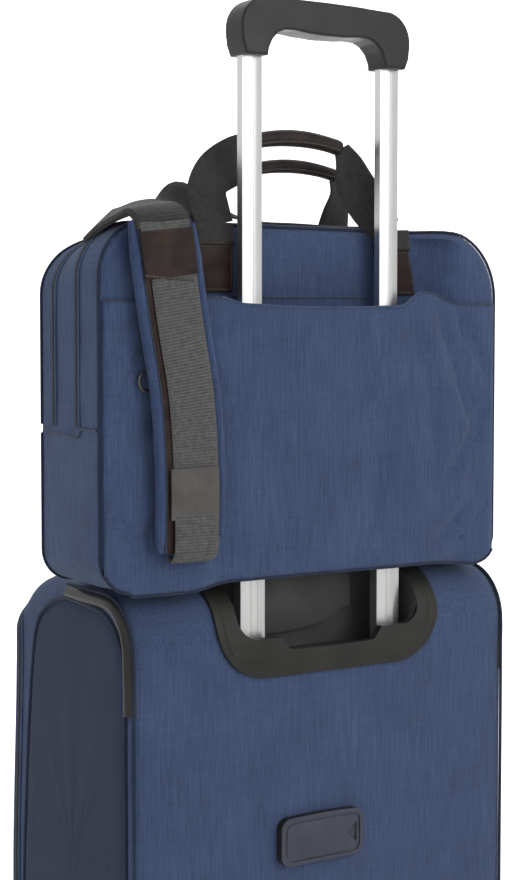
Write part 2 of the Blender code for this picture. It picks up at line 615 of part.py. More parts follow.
def make_handles():
    """The near and far carry handles, and the near handle's leather tabs."""
    tab_low, tab_high = CASE_TOP + 0.251, HANDLE_ROOT - 0.0008
    for side, sign in (("left", -1), ("right", 1)):
        middle = HANDLE_X + sign * TAB_SPACING
        plate("near_tab_" + side, rounded(middle - TAB_HALF_WIDTH, middle + TAB_HALF_WIDTH,
                                          tab_low, tab_high, 0.003, 0.001, steps=2),
              0.0330, SLEEVE_DEPTH - GAP, "XZ", LEATHER, BAG)
    top = CASE_TOP
    grip_y = 0.050
    near = {
        "right": [(HANDLE_X + 0.0920, 0.0348, HANDLE_ROOT, 0.0190, 0, 0),
                  (HANDLE_X + 0.0780, 0.0400, top + 0.332, 0.0150, -0.0060, 0.0070),
                  (HANDLE_X + 0.0640, 0.0450, top + 0.352, 0.0120, -0.0080, 0.0080),
                  (HANDLE_X + 0.0590, 0.0490, top + 0.371, 0.0110, -0.0020, 0.0060),
                  (HANDLE_X + 0.0510, grip_y, top + 0.3830, 0.0040, 0, 0.0060)],
        "left": [(HANDLE_X - 0.0950, 0.0348, HANDLE_ROOT, 0.0190, 0, 0),
                 (HANDLE_X - 0.0990, 0.0400, top + 0.335, 0.0150, -0.0060, -0.0010),
                 (HANDLE_X - 0.0890, 0.0450, top + 0.357, 0.0140, -0.0070, -0.0080),
                 (HANDLE_X - 0.0670, 0.0490, top + 0.376, 0.0080, -0.0020, -0.0100),
                 (HANDLE_X - 0.0510, grip_y, top + 0.3835, 0.0030, 0, -0.0070)]}
    make_carry_handle("near", NEAR, HANDLE_X, top + 0.3895, grip_y, near)
    far_middle, far_y = 0.018, 0.088
    far = {
        "right": [(0.0810, 0.1150, HANDLE_ROOT, 0.0190, 0, 0),
                  (0.0790, 0.1060, top + 0.332, 0.0170, 0.0030, 0.0010),
                  (0.0740, 0.0950, top + 0.352, 0.0110, 0.0030, 0.0040),
                  (far_middle + 0.0510, far_y, top + 0.3620, 0.0040, 0, 0.0060)],
        "left": [(-0.0900, 0.1150, HANDLE_ROOT, 0.0190, 0, 0),
                 (-0.0800, 0.1060, top + 0.332, 0.0150, 0.0030, -0.0060),
                 (-0.0580, 0.0950, top + 0.352, 0.0080, 0.0030, -0.0100),
                 (far_middle - 0.0510, far_y, top + 0.3620, 0.0030, 0, -0.0070)]}
    make_carry_handle("far", FAR, far_middle, top + 0.3690, far_y, far)


def pad_line(depth):
    """The centre of the hanging pad, from top to bottom, at so much in front of its middle."""
    keys = [(-0.1760, -0.0085, 0.2990), (-0.1665, -0.0090, 0.2300), (-0.1550, -0.0095, 0.1610),
            (-0.1510, -0.0095, 0.1000), (-0.1510, -0.0090, 0.0280)]
    return [(x, y - depth, CASE_TOP + z) for x, y, z in keys]


def on_pad(name, half_width, thickness, front, start, stop, paint):
    """A flat layer sewn on the pad's outer face, along a share of its length."""
    rows = between(pad_line(front), 6)
    last = len(rows) - 1
    rows = rows[round(start * last):round(stop * last) + 1]
    ribbon(name, [(*row, half_width, 0, 0) for row in rows], thickness, paint, PAD, steps=1)


def make_shoulder_strap():
    """The pad, its webbing and leather pieces, and the strap's runs over the bag's top."""
    ribbon("strap_pad", [(*row, PAD_HALF_WIDTH, 0, 0) for row in pad_line(0)], PAD_THICKNESS, NAVY, PAD)
    face = PAD_THICKNESS / 2
    on_pad("strap_web", 0.0190, 0.0020, face + GAP + 0.0010, 0.0, 1.0, WEBBING)
    over = face + 2 * GAP + 0.0020 + 0.0008
    on_pad("strap_retainer_top", 0.0290, 0.0016, over, 0.04, 0.21, LEATHER)
    on_pad("strap_retainer_bottom", 0.0250, 0.0016, over, 0.75, 0.92, LEATHER)
    oval = [(-0.1885 + 0.0060 * math.cos(a), -0.0019, CASE_TOP + 0.176 + 0.0075 * math.sin(a))
            for a in (math.radians(22.5 * step) for step in range(16))]
    wire("strap_buckle", oval, 0.0011, STEEL, PAD, closed=True, resolution=1)
    fold = [(-0.1772, -0.0075, PAD_TOP + 0.0065), (-0.1778, -0.0050, CASE_TOP + 0.3115),
            (-0.1784, 0.0025, CASE_TOP + 0.3168), (-0.1792, 0.0140, CASE_TOP + 0.3170),
            (-0.1800, 0.0300, CASE_TOP + 0.3150)]
    ribbon("strap_top_fold", [(*p, PAD_HALF_WIDTH, 0, 0) for p in fold], PAD_THICKNESS, WEBBING, BAG, steps=3)
    run = [(-0.1680, 0.0530, CASE_TOP + 0.3115, 0.0100, 0.0160, 0),
           (-0.1380, 0.0640, CASE_TOP + 0.3220, 0.0050, 0.0130, 0.0110),
           (-0.1080, 0.0700, CASE_TOP + 0.3320, 0.0000, 0.0090, 0.0150),
           (-0.0820, 0.0680, CASE_TOP + 0.3260, 0.0000, 0.0130, 0.0100),
           (-0.0500, 0.0660, CASE_TOP + 0.3165, 0, 0.0180, 0.0040),
           (-0.0100, 0.0660, CASE_TOP + 0.3125, 0, 0.0190, 0),
           (0.0400, 0.0660, CASE_TOP + 0.3115, 0, 0.0190, 0),
           (0.1400, 0.0660, CASE_TOP + 0.3115, 0, 0.0190, 0)]
    ribbon("strap_run_right", run, 0.0022, WEBBING, BAG, steps=3)


make_case()
make_handle_cup()
make_telescopic_handle()
make_trim()
make_wheels()
make_slider("case_zip_slider", (-CASE_HALF_WIDTH, SPLIT_Y, 0.150), (-1, 0, 0), CASE_ZIP)
make_bag()
make_handles()
make_shoulder_strap()
make_slider("rear_zip_slider", (BAG_RIGHT, 0.0405, CASE_TOP + 0.200), (1, 0, 0), REAR_ZIP)
make_slider("front_zip_slider", (BAG_RIGHT, 0.0825, CASE_TOP + 0.240), (1, 0, 0), FRONT_ZIP)
make_slider("pocket_zip_slider", (-0.213, BAG_FRONT, CASE_TOP + 0.172), (0, 1, 0), POCKET_ZIP, loop=0.030)
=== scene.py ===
"""Looks of a rolling case with a laptop bag on its telescopic handle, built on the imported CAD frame.

Lengths in the helper at() are millimetres: x from the case's middle, y from its flat back
towards its lid, z from its flat top. Everything else is in metres.
"""
import math

import bmesh
import bpy
from mathutils import Matrix, Vector, noise


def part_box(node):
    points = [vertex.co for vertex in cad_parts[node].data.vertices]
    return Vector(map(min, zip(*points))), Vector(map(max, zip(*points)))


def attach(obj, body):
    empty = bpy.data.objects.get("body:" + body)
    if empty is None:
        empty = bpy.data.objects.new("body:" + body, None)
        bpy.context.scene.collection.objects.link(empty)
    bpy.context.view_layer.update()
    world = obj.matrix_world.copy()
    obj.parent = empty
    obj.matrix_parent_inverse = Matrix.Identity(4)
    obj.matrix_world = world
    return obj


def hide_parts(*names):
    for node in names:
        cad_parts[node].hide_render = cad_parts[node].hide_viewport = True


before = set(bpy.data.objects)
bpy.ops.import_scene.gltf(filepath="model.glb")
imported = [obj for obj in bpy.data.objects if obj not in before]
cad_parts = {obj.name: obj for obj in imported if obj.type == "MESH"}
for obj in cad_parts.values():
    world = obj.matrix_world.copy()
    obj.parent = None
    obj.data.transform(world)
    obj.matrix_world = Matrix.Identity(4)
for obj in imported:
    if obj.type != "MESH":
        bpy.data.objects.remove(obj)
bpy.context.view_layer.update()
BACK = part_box("case_shell")[0].y
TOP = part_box("case_shell")[1].z
HALF_WIDTH = 200
ZIP_DEPTH = 214            # depth of the case's zip line
POLE_X, POLE_Y = 73.5, 19  # middle of the right pole
BAG_LEFT, BAG_RIGHT, BAG_FOOT, BAG_TOP = -228, 190, 3.5, 309
SEAM = 135                 # height of the bag's cross seam over the case's top
SLEEVE_LEFT, SLEEVE_WIDTH = -225.5, 412
STITCH_LEFT, STITCH_RIGHT = -113, 103   # the sleeve is sewn down outside these
BACKDROP_TURN = math.radians(33)        # the camera looks this far round from straight at the back
BACKWARD, FORWARD = Vector((0, -1, 0)), Vector((0, 1, 0))


def at(x, y, z):
    """A place in millimetres from the case's middle, its back and its top."""
    return Vector((x * 0.001, BACK + y * 0.001, TOP + z * 0.001))


# ------------------------------------------------------------------ shader tools

class Socket:
    """One output of a shader node; sums on it add Math nodes."""

    def __init__(self, finish, output):
        self.finish, self.output = finish, output

    def math(self, operation, first, second):
        return self.finish.node("ShaderNodeMath", {"operation": operation}, {0: first, 1: second})

    def __add__(self, other):
        return self.math("ADD", self, other)

    def __sub__(self, other):
        return self.math("SUBTRACT", self, other)

    def __rsub__(self, other):
        return self.math("SUBTRACT", other, self)

    def __mul__(self, other):
        return self.math("MULTIPLY", self, other)

    def __gt__(self, other):
        return self.math("GREATER_THAN", self, other)

    def power(self, other):
        return self.math("POWER", self, other)

    def wave(self):
        return self.finish.node("ShaderNodeMath", {"operation": "SINE"}, {0: self})

    __radd__ = __add__
    __rmul__ = __mul__


class Finish:
    """A Principled material and the nodes that vary it."""

    def __init__(self, name, colour, roughness, metallic=0.0, **fixed):
        self.material = bpy.data.materials.new(name)
        self.material.use_nodes = True
        self.tree = self.material.node_tree
        self.shader = self.tree.nodes["Principled BSDF"]
        self.feed(Base_Color=(*colour, 1), Roughness=roughness, Metallic=metallic, **fixed)

    def feed(self, **sockets):
        """Set or link sockets of the Principled shader."""
        for name, value in sockets.items():
            self.join(self.shader.inputs[name.replace("_", " ")], value)

    def join(self, socket, value):
        if isinstance(value, Socket):
            self.tree.links.new(value.output, socket)
        else:
            socket.default_value = value

    def node(self, kind, settings=None, sockets=None, output=0):
        made = self.tree.nodes.new(kind)
        for name, value in (settings or {}).items():
            if name == "stops":
                ramp = made.color_ramp
                ramp.elements[0].position, ramp.elements[0].color = value[0]
                ramp.elements[1].position, ramp.elements[1].color = value[-1]
                for position, colour in value[1:-1]:
                    ramp.elements.new(position).color = colour
            else:
                setattr(made, name, value)
        for name, value in (sockets or {}).items():
            self.join(made.inputs[name], value)
        return Socket(self, made.outputs[output])

    def place(self):
        return self.node("ShaderNodeTexCoord", output="Object")

    def strip(self):
        """Across and along a swept piece, in metres."""
        spread = self.node("ShaderNodeUVMap", {"uv_map": "strip"})
        return [self.node("ShaderNodeSeparateXYZ", {}, {0: spread}, output=i) for i in (0, 1)]

    def axes(self):
        return [self.node("ShaderNodeSeparateXYZ", {}, {0: self.place()}, output=i) for i in (0, 1, 2)]

    def speckle(self, size, stretch=(1, 1, 1), detail=2.0, rough=0.5):
        """Noise from 0 to 1 with features of a size in metres, drawn out along the small axes of stretch."""
        scaled = self.node("ShaderNodeMapping", {}, {"Vector": self.place(), "Scale": stretch})
        return self.node("ShaderNodeTexNoise", {}, {"Vector": scaled, "Scale": 1 / size,
                                                     "Detail": detail, "Roughness": rough})

    def stretch(self, value, low, high):
        """Spread the part of a value between two limits over 0 to 1."""
        return self.node("ShaderNodeMapRange", {}, {"Value": value, "From Min": low, "From Max": high})

    def blend(self, factor, first, second):
        mix = self.tree.nodes.new("ShaderNodeMix")
        mix.data_type = "RGBA"
        self.join(mix.inputs[0], factor)
        for index, value in ((6, first), (7, second)):
            self.join(mix.inputs[index], value if isinstance(value, Socket) else (*value, 1))
        return Socket(self, mix.outputs[2])

    def relief(self, height, depth, under=None):
        """Bump of a real depth in metres."""
        sockets = {"Height": height, "Distance": depth, "Strength": 1.0}
        if under:
            sockets["Normal"] = under
        return self.node("ShaderNodeBump", {}, sockets)


def slub_cloth(name, dark, light, contrast=1.0):
    """Navy cloth of uneven threads: long upright streaks, shorter cross streaks and a fine weave."""
    cloth = Finish(name, light, 0.88, Specular_IOR_Level=0.22, Sheen_Weight=0.12, Sheen_Roughness=0.5)
    warp = cloth.stretch(cloth.speckle(0.0013, (1, 1, 0.035), 3.0, 0.65), 0.34, 0.66)
    weft = cloth.stretch(cloth.speckle(0.0015, (0.05, 0.05, 1), 3.0, 0.65), 0.32, 0.68)
    cloud = cloth.stretch(cloth.speckle(0.06, detail=1.0), 0.3, 0.7)
    fleck = cloth.stretch(cloth.speckle(0.0011, (1, 1, 0.5), 1.0), 0.30, 0.72)
    mask = warp * (0.42 * contrast) + weft * (0.18 * contrast) + cloud * 0.18 + fleck * 0.16
    cloth.feed(Base_Color=cloth.blend(mask, dark, light), Roughness=0.96 - warp * 0.14)
    x, y, z = cloth.axes()
    weave = ((x + y) * 6300).wave() * (z * 6300).wave()
    cloth.feed(Normal=cloth.relief(weave * 0.35 + warp * 0.7 + weft * 0.5, 0.00022))
    return cloth.material


def webbing(name, dark, light, rib_size=0.0016):
    """Flat woven strap: ribs across its width and fine lengthwise yarn lines."""
    strap = Finish(name, light, 0.8, Specular_IOR_Level=0.3, Sheen_Weight=0.15)
    across, along = strap.strip()
    rib = (along * (2 * math.pi / rib_size)).wave() * 0.5 + 0.5
    yarn = (across * (2 * math.pi / 0.0011)).wave() * 0.5 + 0.5
    dust = strap.stretch(strap.speckle(0.004), 0.3, 0.7)
    strap.feed(Base_Color=strap.blend(rib * 0.40 + dust * 0.4 + yarn * 0.2, dark, light),
               Normal=strap.relief(rib + yarn * 0.4, 0.0002))
    return strap.material


def hide(name, dark, light, roughness, coat=0.0):
    """Smooth leather with a pebble grain and rubbed high spots."""
    leather = Finish(name, light, roughness, Specular_IOR_Level=0.22, Coat_Weight=coat, Coat_Roughness=0.35)
    pebble = leather.node("ShaderNodeTexVoronoi", {"feature": "SMOOTH_F1"},
                          {"Vector": leather.place(), "Scale": 900.0}, output="Distance")
    rub = leather.stretch(leather.speckle(0.018, detail=3.0), 0.32, 0.68)
    crease = leather.speckle(0.005, (1, 1, 0.4), 3.0)
    leather.feed(Base_Color=leather.blend(rub, dark, light), Roughness=roughness + 0.14 - rub * 0.2,
                 Normal=leather.relief(pebble * 0.5 + crease * 0.8, 0.00016))
    return leather.material


def moulded(name, dark, light, roughness, grain=0.00009, size=0.0009):
    """Moulded plastic with a fine etched grain and slightly polished patches."""
    plastic = Finish(name, light, roughness, Specular_IOR_Level=0.3)
    etched = plastic.speckle(size, detail=2.0, rough=0.7)
    worn = plastic.stretch(plastic.speckle(0.03, detail=2.0), 0.3, 0.7)
    plastic.feed(Base_Color=plastic.blend(worn, dark, light), Roughness=roughness + 0.08 - worn * 0.12,
                 Normal=plastic.relief(etched, grain))
    return plastic.material


def drawn_metal(name, colour, roughness, anisotropic=0.0):
    """Metal drawn along Z, with hair-fine lines."""
    metal = Finish(name, colour, roughness, 1.0, Anisotropic=anisotropic)
    line = metal.speckle(0.0006, (1, 1, 0.004), 2.0, 0.6)
    smudge = metal.stretch(metal.speckle(0.03, detail=2.0), 0.3, 0.7)
    metal.feed(Roughness=roughness + 0.06 - line * 0.08 + smudge * 0.04,
               Base_Color=metal.blend(line, [c * 0.9 for c in colour], colour),
               Normal=metal.relief(line, 0.00002))
    return metal.material


def zip_teeth(name):
    """Coil of a closed zip: slanted teeth, with painted shade in the dark gap between them."""
    coil = Finish(name, (0.03, 0.032, 0.04), 0.45)
    along = coil.strip()[1]
    tooth_and_gap_shade = (along * (2 * math.pi / 0.0018)).wave() * 0.5 + 0.5
    # the near-black colour between the teeth is painted shade in the gaps
    coil.feed(Base_Color=coil.blend(tooth_and_gap_shade, (0.006, 0.007, 0.010), (0.040, 0.043, 0.055)),
              Normal=coil.relief(tooth_and_gap_shade, 0.0006))
    return coil.material


def thread_line(name, colour):
    """Sewing thread: short stitches along the line."""
    thread = Finish(name, colour, 0.7, Sheen_Weight=0.1)
    along = thread.strip()[1]
    stitch = (along * (2 * math.pi / 0.0032)).wave() * 0.5 + 0.5
    thread.feed(Base_Color=thread.blend(stitch, [c * 0.35 for c in colour], colour),
                Normal=thread.relief(stitch, 0.0004))
    return thread.material


NAVY = slub_cloth("navy_slub_cloth", (0.031, 0.049, 0.106), (0.079, 0.122, 0.240))
# a darker copy of the navy cloth: painted shade for the side panels, which turn away from the key light
NAVY_SHADED_SIDE = slub_cloth("navy_side_cloth", (0.013, 0.023, 0.056), (0.030, 0.048, 0.102), 0.35)
BINDING = slub_cloth("navy_binding", (0.022, 0.040, 0.096), (0.062, 0.098, 0.205), 1.2)
CORD = slub_cloth("dark_piping", (0.011, 0.017, 0.036), (0.033, 0.050, 0.098), 0.8)
LINING = slub_cloth("plain_lining", (0.022, 0.023, 0.026), (0.045, 0.047, 0.052), 0.6)
WEB = webbing("grey_webbing", (0.017, 0.017, 0.017), (0.052, 0.051, 0.049))
WEB_PAD = webbing("pad_webbing", (0.042, 0.0415, 0.0415), (0.140, 0.138, 0.136), 0.0026)
LEATHER = hide("brown_leather", (0.020, 0.011, 0.009), (0.036, 0.021, 0.017), 0.56)
GRIP_HIDE = hide("handle_leather", (0.016, 0.011, 0.010), (0.034, 0.023, 0.019), 0.48, 0.05)
GLOSSY_HIDE = hide("polished_leather", (0.070, 0.062, 0.060), (0.100, 0.092, 0.090), 0.30, 0.35)
PLASTIC = moulded("grained_black_plastic", (0.016, 0.0155, 0.014), (0.027, 0.026, 0.023), 0.46)
CUP_PLASTIC = moulded("cup_plastic", (0.050, 0.050, 0.050), (0.064, 0.064, 0.063), 0.55, 0.00012)
GUARD = moulded("guard_plastic", (0.022, 0.021, 0.022), (0.034, 0.033, 0.035), 0.30, 0.00003)
SATIN = moulded("satin_grip_plastic", (0.020, 0.020, 0.0205), (0.028, 0.028, 0.029), 0.36, 0.00002)
TAG_PLASTIC = moulded("tag_plastic", (0.045, 0.051, 0.072), (0.062, 0.069, 0.098), 0.40)
RUBBER = moulded("wheel_rubber", (0.016, 0.016, 0.016), (0.028, 0.028, 0.028), 0.75)
CARD = moulded("tag_card", (0.60, 0.60, 0.57), (0.72, 0.72, 0.69), 0.7)
POLE = drawn_metal("anodised_pole", (0.71, 0.71, 0.70), 0.30)
STEEL = drawn_metal("dull_nickel", (0.52, 0.50, 0.47), 0.34)
GUNMETAL = drawn_metal("dark_ring_metal", (0.16, 0.15, 0.13), 0.38)
TEETH = zip_teeth("zip_coil")
THREAD = thread_line("navy_thread", (0.045, 0.066, 0.120))
BROWN_THREAD = thread_line("brown_thread", (0.085, 0.070, 0.058))


# ------------------------------------------------------------------ mesh tools

def add_piece(name, shape, paint, body, replaces=(), slot=None, angle=40, second=None):
    """Turn a bmesh into a shaded object that rides on a body and stands for CAD nodes."""
    mesh = bpy.data.meshes.new(name)
    bmesh.ops.recalc_face_normals(shape, faces=shape.faces)
    shape.to_mesh(mesh)
    shape.free()
    piece = bpy.data.objects.new(name, mesh)
    bpy.context.scene.collection.objects.link(piece)
    mesh.materials.append(paint)
    if second:
        mesh.materials.append(second)
    mesh.shade_smooth()
    mesh.set_sharp_from_angle(angle=math.radians(angle))
    if body:
        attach(piece, body)
    if replaces:
        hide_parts(*([replaces] if isinstance(replaces, str) else replaces))
    return piece


def rings_mesh(rings, closed=True, ends=True, lengths=None, widths=None):
    """A bmesh through rings of equal length, with the strip coordinates of each corner."""
    shape = bmesh.new()
    layer = shape.loops.layers.uv.new("strip")
    rows = [[shape.verts.new(point) for point in ring] for ring in rings]
    count = len(rows[0])
    for r in range(len(rows) - 1):
        for c in range(count if closed else count - 1):
            n = (c + 1) % count
            face = shape.faces.new((rows[r][c], rows[r][n], rows[r + 1][n], rows[r + 1][c]))
            if lengths:
                wide = widths[c + 1] if n == 0 and len(widths) > count else widths[n]
                for loop, uv in zip(face.loops, ((widths[c], lengths[r]), (wide, lengths[r]),
                                                 (wide, lengths[r + 1]), (widths[c], lengths[r + 1]))):
                    loop[layer].uv = uv
    if ends:
        shape.faces.new(rows[0])
        shape.faces.new(rows[-1])
    return shape


def smooth_path(keys, steps=8):
    """Points on a smooth curve through rows of numbers, whatever the distances between the rows."""
    spans = [max(math.dist(a[:3], b[:3]), 1e-6) for a, b in zip(keys, keys[1:])]
    rates = [[(q - p) / span for p, q in zip(a, b)] for a, b, span in zip(keys, keys[1:], spans)]
    slopes = [rates[0]]
    for i in range(1, len(rates)):
        share = spans[i] / (spans[i - 1] + spans[i])
        slopes.append([p * share + q * (1 - share) for p, q in zip(rates[i - 1], rates[i])])
    slopes.append(rates[-1])
    rows = []
    for i, span in enumerate(spans):
        for step in range(steps):
            t = step / steps
            turn = t * t * (3 - 2 * t)
            leave, arrive = span * t * (1 - t) ** 2, span * t * t * (t - 1)
            rows.append([a + (b - a) * turn + m * leave + n * arrive
                         for a, b, m, n in zip(keys[i], keys[i + 1], slopes[i], slopes[i + 1])])
    rows.append(list(keys[-1]))
    return rows


def sweep(name, path, section, outward, paint, body, closed=False, sizes=None, **more):
    """Draw a closed section of (across, out) metres along a path; outward is one direction or one a point."""
    rings, lengths, run = [], [], 0.0
    count = len(path)
    for i, point in enumerate(path):
        before = path[(i - 1) % count] if closed else path[max(i - 1, 0)]
        after = path[(i + 1) % count] if closed else path[min(i + 1, count - 1)]
        ahead = (after - before).normalized()
        out = outward[i] if isinstance(outward, list) else outward
        out = (out - ahead * out.dot(ahead)).normalized()
        side = ahead.cross(out)
        size = sizes[i] if sizes else 1.0
        run += (point - path[i - 1]).length if i else 0.0
        lengths.append(run)
        rings.append([point + side * u * size + out * v * size for u, v in section])
    if closed:
        rings.append(rings[0])
        lengths.append(run + (path[0] - path[-1]).length)
    widths = [section[0][0]]
    for a, b in zip(section, section[1:] + section[:1]):
        widths.append(widths[-1] + math.dist(a, b))
    shape = rings_mesh(rings, True, not closed, lengths, widths)
    if closed:
        bmesh.ops.remove_doubles(shape, verts=shape.verts, dist=0.00001)
    return add_piece(name, shape, paint, body, **more)


def disc(radius, count=12, flat=1.0):
    """A round or flattened section."""
    return [(radius * math.cos(2 * math.pi * i / count), radius * flat * math.sin(2 * math.pi * i / count))
            for i in range(count)]


def band(width, thick, crown=0.0):
    """A flat strap's section, its edges rounded, its outer face crowned."""
    half, edge = width / 2, thick / 2
    outer = [(half * s, thick + crown * (1 - s * s)) for s in (0.92, 0.6, 0.2, -0.2, -0.6, -0.92)]
    return [(-half * 0.97, 0), (half * 0.97, 0), (half, edge)] + outer + [(-half, edge)]


def arc(cx, cy, radius, start, turn, steps):
    return [(cx + radius * math.cos(math.radians(start + turn * i / steps)),
             cy + radius * math.sin(math.radians(start + turn * i / steps))) for i in range(steps + 1)]


def run_between(a, b, pieces):
    """Points from a to b, without b."""
    return [tuple(p + (q - p) * i / pieces for p, q in zip(a, b)) for i in range(pieces)]


def rounded_box(low_u, high_u, low_v, high_v, radii, steps=8, pieces=(1, 1, 1, 1)):
    """A rectangle with its own radius at each corner, from the low-low corner round by high u."""
    a, b, c, d = radii
    corners = [arc(low_u + a, low_v + a, a, 180, 90, steps), arc(high_u - b, low_v + b, b, 270, 90, steps),
               arc(high_u - c, high_v - c, c, 0, 90, steps), arc(low_u + d, high_v - d, d, 90, 90, steps)]
    points = []
    for i, turn in enumerate(corners):
        points += turn[:-1] + run_between(turn[-1], corners[(i + 1) % 4][0], pieces[i])
    return points


def prism(outline, low, high, plane):
    """A bmesh of an outline in millimetres given thickness, in plane XY, XZ or YZ."""
    put = {"XY": lambda u, v, w: at(u, v, w), "XZ": lambda u, v, w: at(u, w, v),
           "YZ": lambda u, v, w: at(w, u, v)}[plane]
    return rings_mesh([[put(u, v, w) for u, v in outline] for w in (low, high)])


def solid(name, shape):
    """A bare object to cut, soften or melt before it becomes a piece."""
    mesh = bpy.data.meshes.new("raw")
    bmesh.ops.recalc_face_normals(shape, faces=shape.faces)
    shape.to_mesh(mesh)
    shape.free()
    made = bpy.data.objects.new(name, mesh)
    bpy.context.scene.collection.objects.link(made)
    return made


def apply(piece):
    """Make the piece's mesh what its modifiers give."""
    graph = bpy.context.evaluated_depsgraph_get()
    mesh = bpy.data.meshes.new_from_object(piece.evaluated_get(graph))
    piece.modifiers.clear()
    piece.data = mesh
    return piece


def carve(base, tools):
    """Boolean each (shape, operation) into the base in turn, then drop the tools."""
    for index, (shape, operation) in enumerate(tools):
        tool = solid("tool_%d" % index, shape)
        modifier = base.modifiers.new("cut", "BOOLEAN")
        modifier.object, modifier.operation, modifier.solver = tool, operation, "EXACT"
        bpy.context.view_layer.update()
        apply(base)
        bpy.data.objects.remove(tool)
    return base


def soften(piece, width, segments=3, angle=35):
    """Round the sharp edges and keep the flats flat."""
    bevel = piece.modifiers.new("edge", "BEVEL")
    bevel.width, bevel.segments, bevel.angle_limit = width, segments, math.radians(angle)
    bevel.limit_method = "ANGLE"
    piece.modifiers.new("shade", "WEIGHTED_NORMAL").keep_sharp = True
    bpy.context.view_layer.update()
    return apply(piece)


def melt(piece, voxel, rounds=0):
    """Remesh a solid into even voxels and smooth it, as a mould rounds every edge."""
    remesh = piece.modifiers.new("melt", "REMESH")
    remesh.mode, remesh.voxel_size = "VOXEL", voxel
    smooth = piece.modifiers.new("smooth", "SMOOTH")
    smooth.iterations, smooth.factor = rounds, 0.5
    bpy.context.view_layer.update()
    return apply(piece)


def moulding(piece, paint, body, **more):
    """Hand a finished solid over as a piece."""
    name = piece.name
    piece.name = name + "_raw"
    shape = bmesh.new()
    shape.from_mesh(piece.data)
    bpy.data.objects.remove(piece)
    return add_piece(name, shape, paint, body, **more)


def divide(shape, cuts, chosen):
    """Cut along planes of (point, normal); split the shape in two by a test on each face's middle."""
    for point, normal in cuts:
        bmesh.ops.bisect_plane(shape, geom=shape.verts[:] + shape.edges[:] + shape.faces[:],
                               plane_co=point, plane_no=normal)
    other = shape.copy()
    for part, keep in ((shape, True), (other, False)):
        gone = [f for f in part.faces if chosen(f.calc_center_median()) != keep]
        bmesh.ops.delete(part, geom=gone, context="FACES")
    return shape, other


def thicken(piece, thickness, paint):
    """Give a skin its thickness inwards, lined on the inside."""
    piece.data.materials.append(paint)
    skin = piece.modifiers.new("lining", "SOLIDIFY")
    skin.thickness, skin.offset = thickness, -1
    skin.material_offset = len(piece.data.materials) - 1
    bpy.context.view_layer.update()
    return apply(piece)


def ease(t):
    t = min(max(t, 0.0), 1.0)
    return t * t * (3 - 2 * t)


def ripple(x, z, size, seed=0.0):
    """Slow uneven waves between -1 and 1, with sizes in millimetres."""
    return noise.noise(Vector((x / size, z / size, seed)))


# ------------------------------------------------------------------ rolling case

def case_ring(x, turn=0.0):
    """The case's section at a width: full in the middle, drawn in where the sides round over."""
    w = 1 - math.cos(turn)
    points = rounded_box(5 * w, 229 - 7 * w, -490 + 8 * w, -11 * w, (30, 30, 70 + 14 * w, 50 - 5 * w),
                         steps=12, pieces=(8, 16, 8, 16))
    ring = []
    for y, z in points:
        swell = 0.9 * ripple(x + 3 * y, z, 70) * (1 - w)
        ring.append(at(x, y + (swell if y > 120 else -swell), z + 0.3 * swell))
    return ring


def bellied(point):
    """The stuffed lid sags forwards towards the case's lower half."""
    y, z = (point.y - BACK) * 1000, (point.z - TOP) * 1000
    sag = 11 * ease((-z - 60) / 240) * ease((z + 490) / 90) * ease((y - 150) / 55)
    return point + Vector((0, sag * 0.001, 0))


def make_case_skins():
    """Shell and lid, each a lined cloth skin, cut apart at the zip and open at the handle cup."""
    turns = [math.pi / 2 * i / 9 for i in range(10)]
    left = [(-165 - 35 * math.sin(t), t) for t in reversed(turns)]
    stations = left + [(-165 + 16.5 * i, 0) for i in range(1, 20)] + [(-x, t) for x, t in reversed(left)]
    rings = [case_ring(x, t) for x, t in stations]
    middle = at(0, 112, -245)

    def shrunk(ring, share):
        return [Vector((p.x, middle.y + (p.y - middle.y) * share, middle.z + (p.z - middle.z) * share))
                for p in ring]
    shares = (0.97, 0.9, 0.7, 0.4, 0.1)
    rings = [shrunk(rings[0], s) for s in reversed(shares)] + rings + [shrunk(rings[-1], s) for s in shares]
    shape = rings_mesh(rings)
    bmesh.ops.recalc_face_normals(shape, faces=shape.faces)
    seam = at(0, ZIP_DEPTH, 0)
    shell, lid = divide(shape, [(seam, FORWARD)], lambda c: c.y < seam.y)
    corner = at(104, 52, -68.5)
    cuts = [(corner, Vector((1, 0, 0))), (-corner, Vector((1, 0, 0))), (corner, FORWARD),
            (corner, Vector((0, 0, 1)))]
    shell, scrap = divide(shell, cuts, lambda c: abs(c.x) > corner.x or c.y > corner.y or c.z < corner.z)
    scrap.free()
    for name, part, body, node in (("case_cloth_shell", shell, "case", "case_shell"),
                                   ("case_cloth_lid", lid, "lid", "case_lid")):
        for corner in part.verts:
            corner.co = bellied(corner.co)
        thicken(add_piece(name, part, NAVY, body, node, "navy_fabric"), 0.0028, LINING)


PANEL_LINE = [(118, -15.5), (134, -19), (156, -28.5), (170, -39), (178, -54), (183, -74), (188, -102),
              (199, -200), (206, -290), (207.5, -400), (206, -436), (199, -453), (184, -463), (110, -466),
              (34, -463), (21, -456), (14, -443), (12.5, -420), (12, -300), (12, -200), (12, -110), (12, -88),
              (13, -66), (18, -48), (28, -33), (44, -23), (75, -17.5), (100, -15.9)]


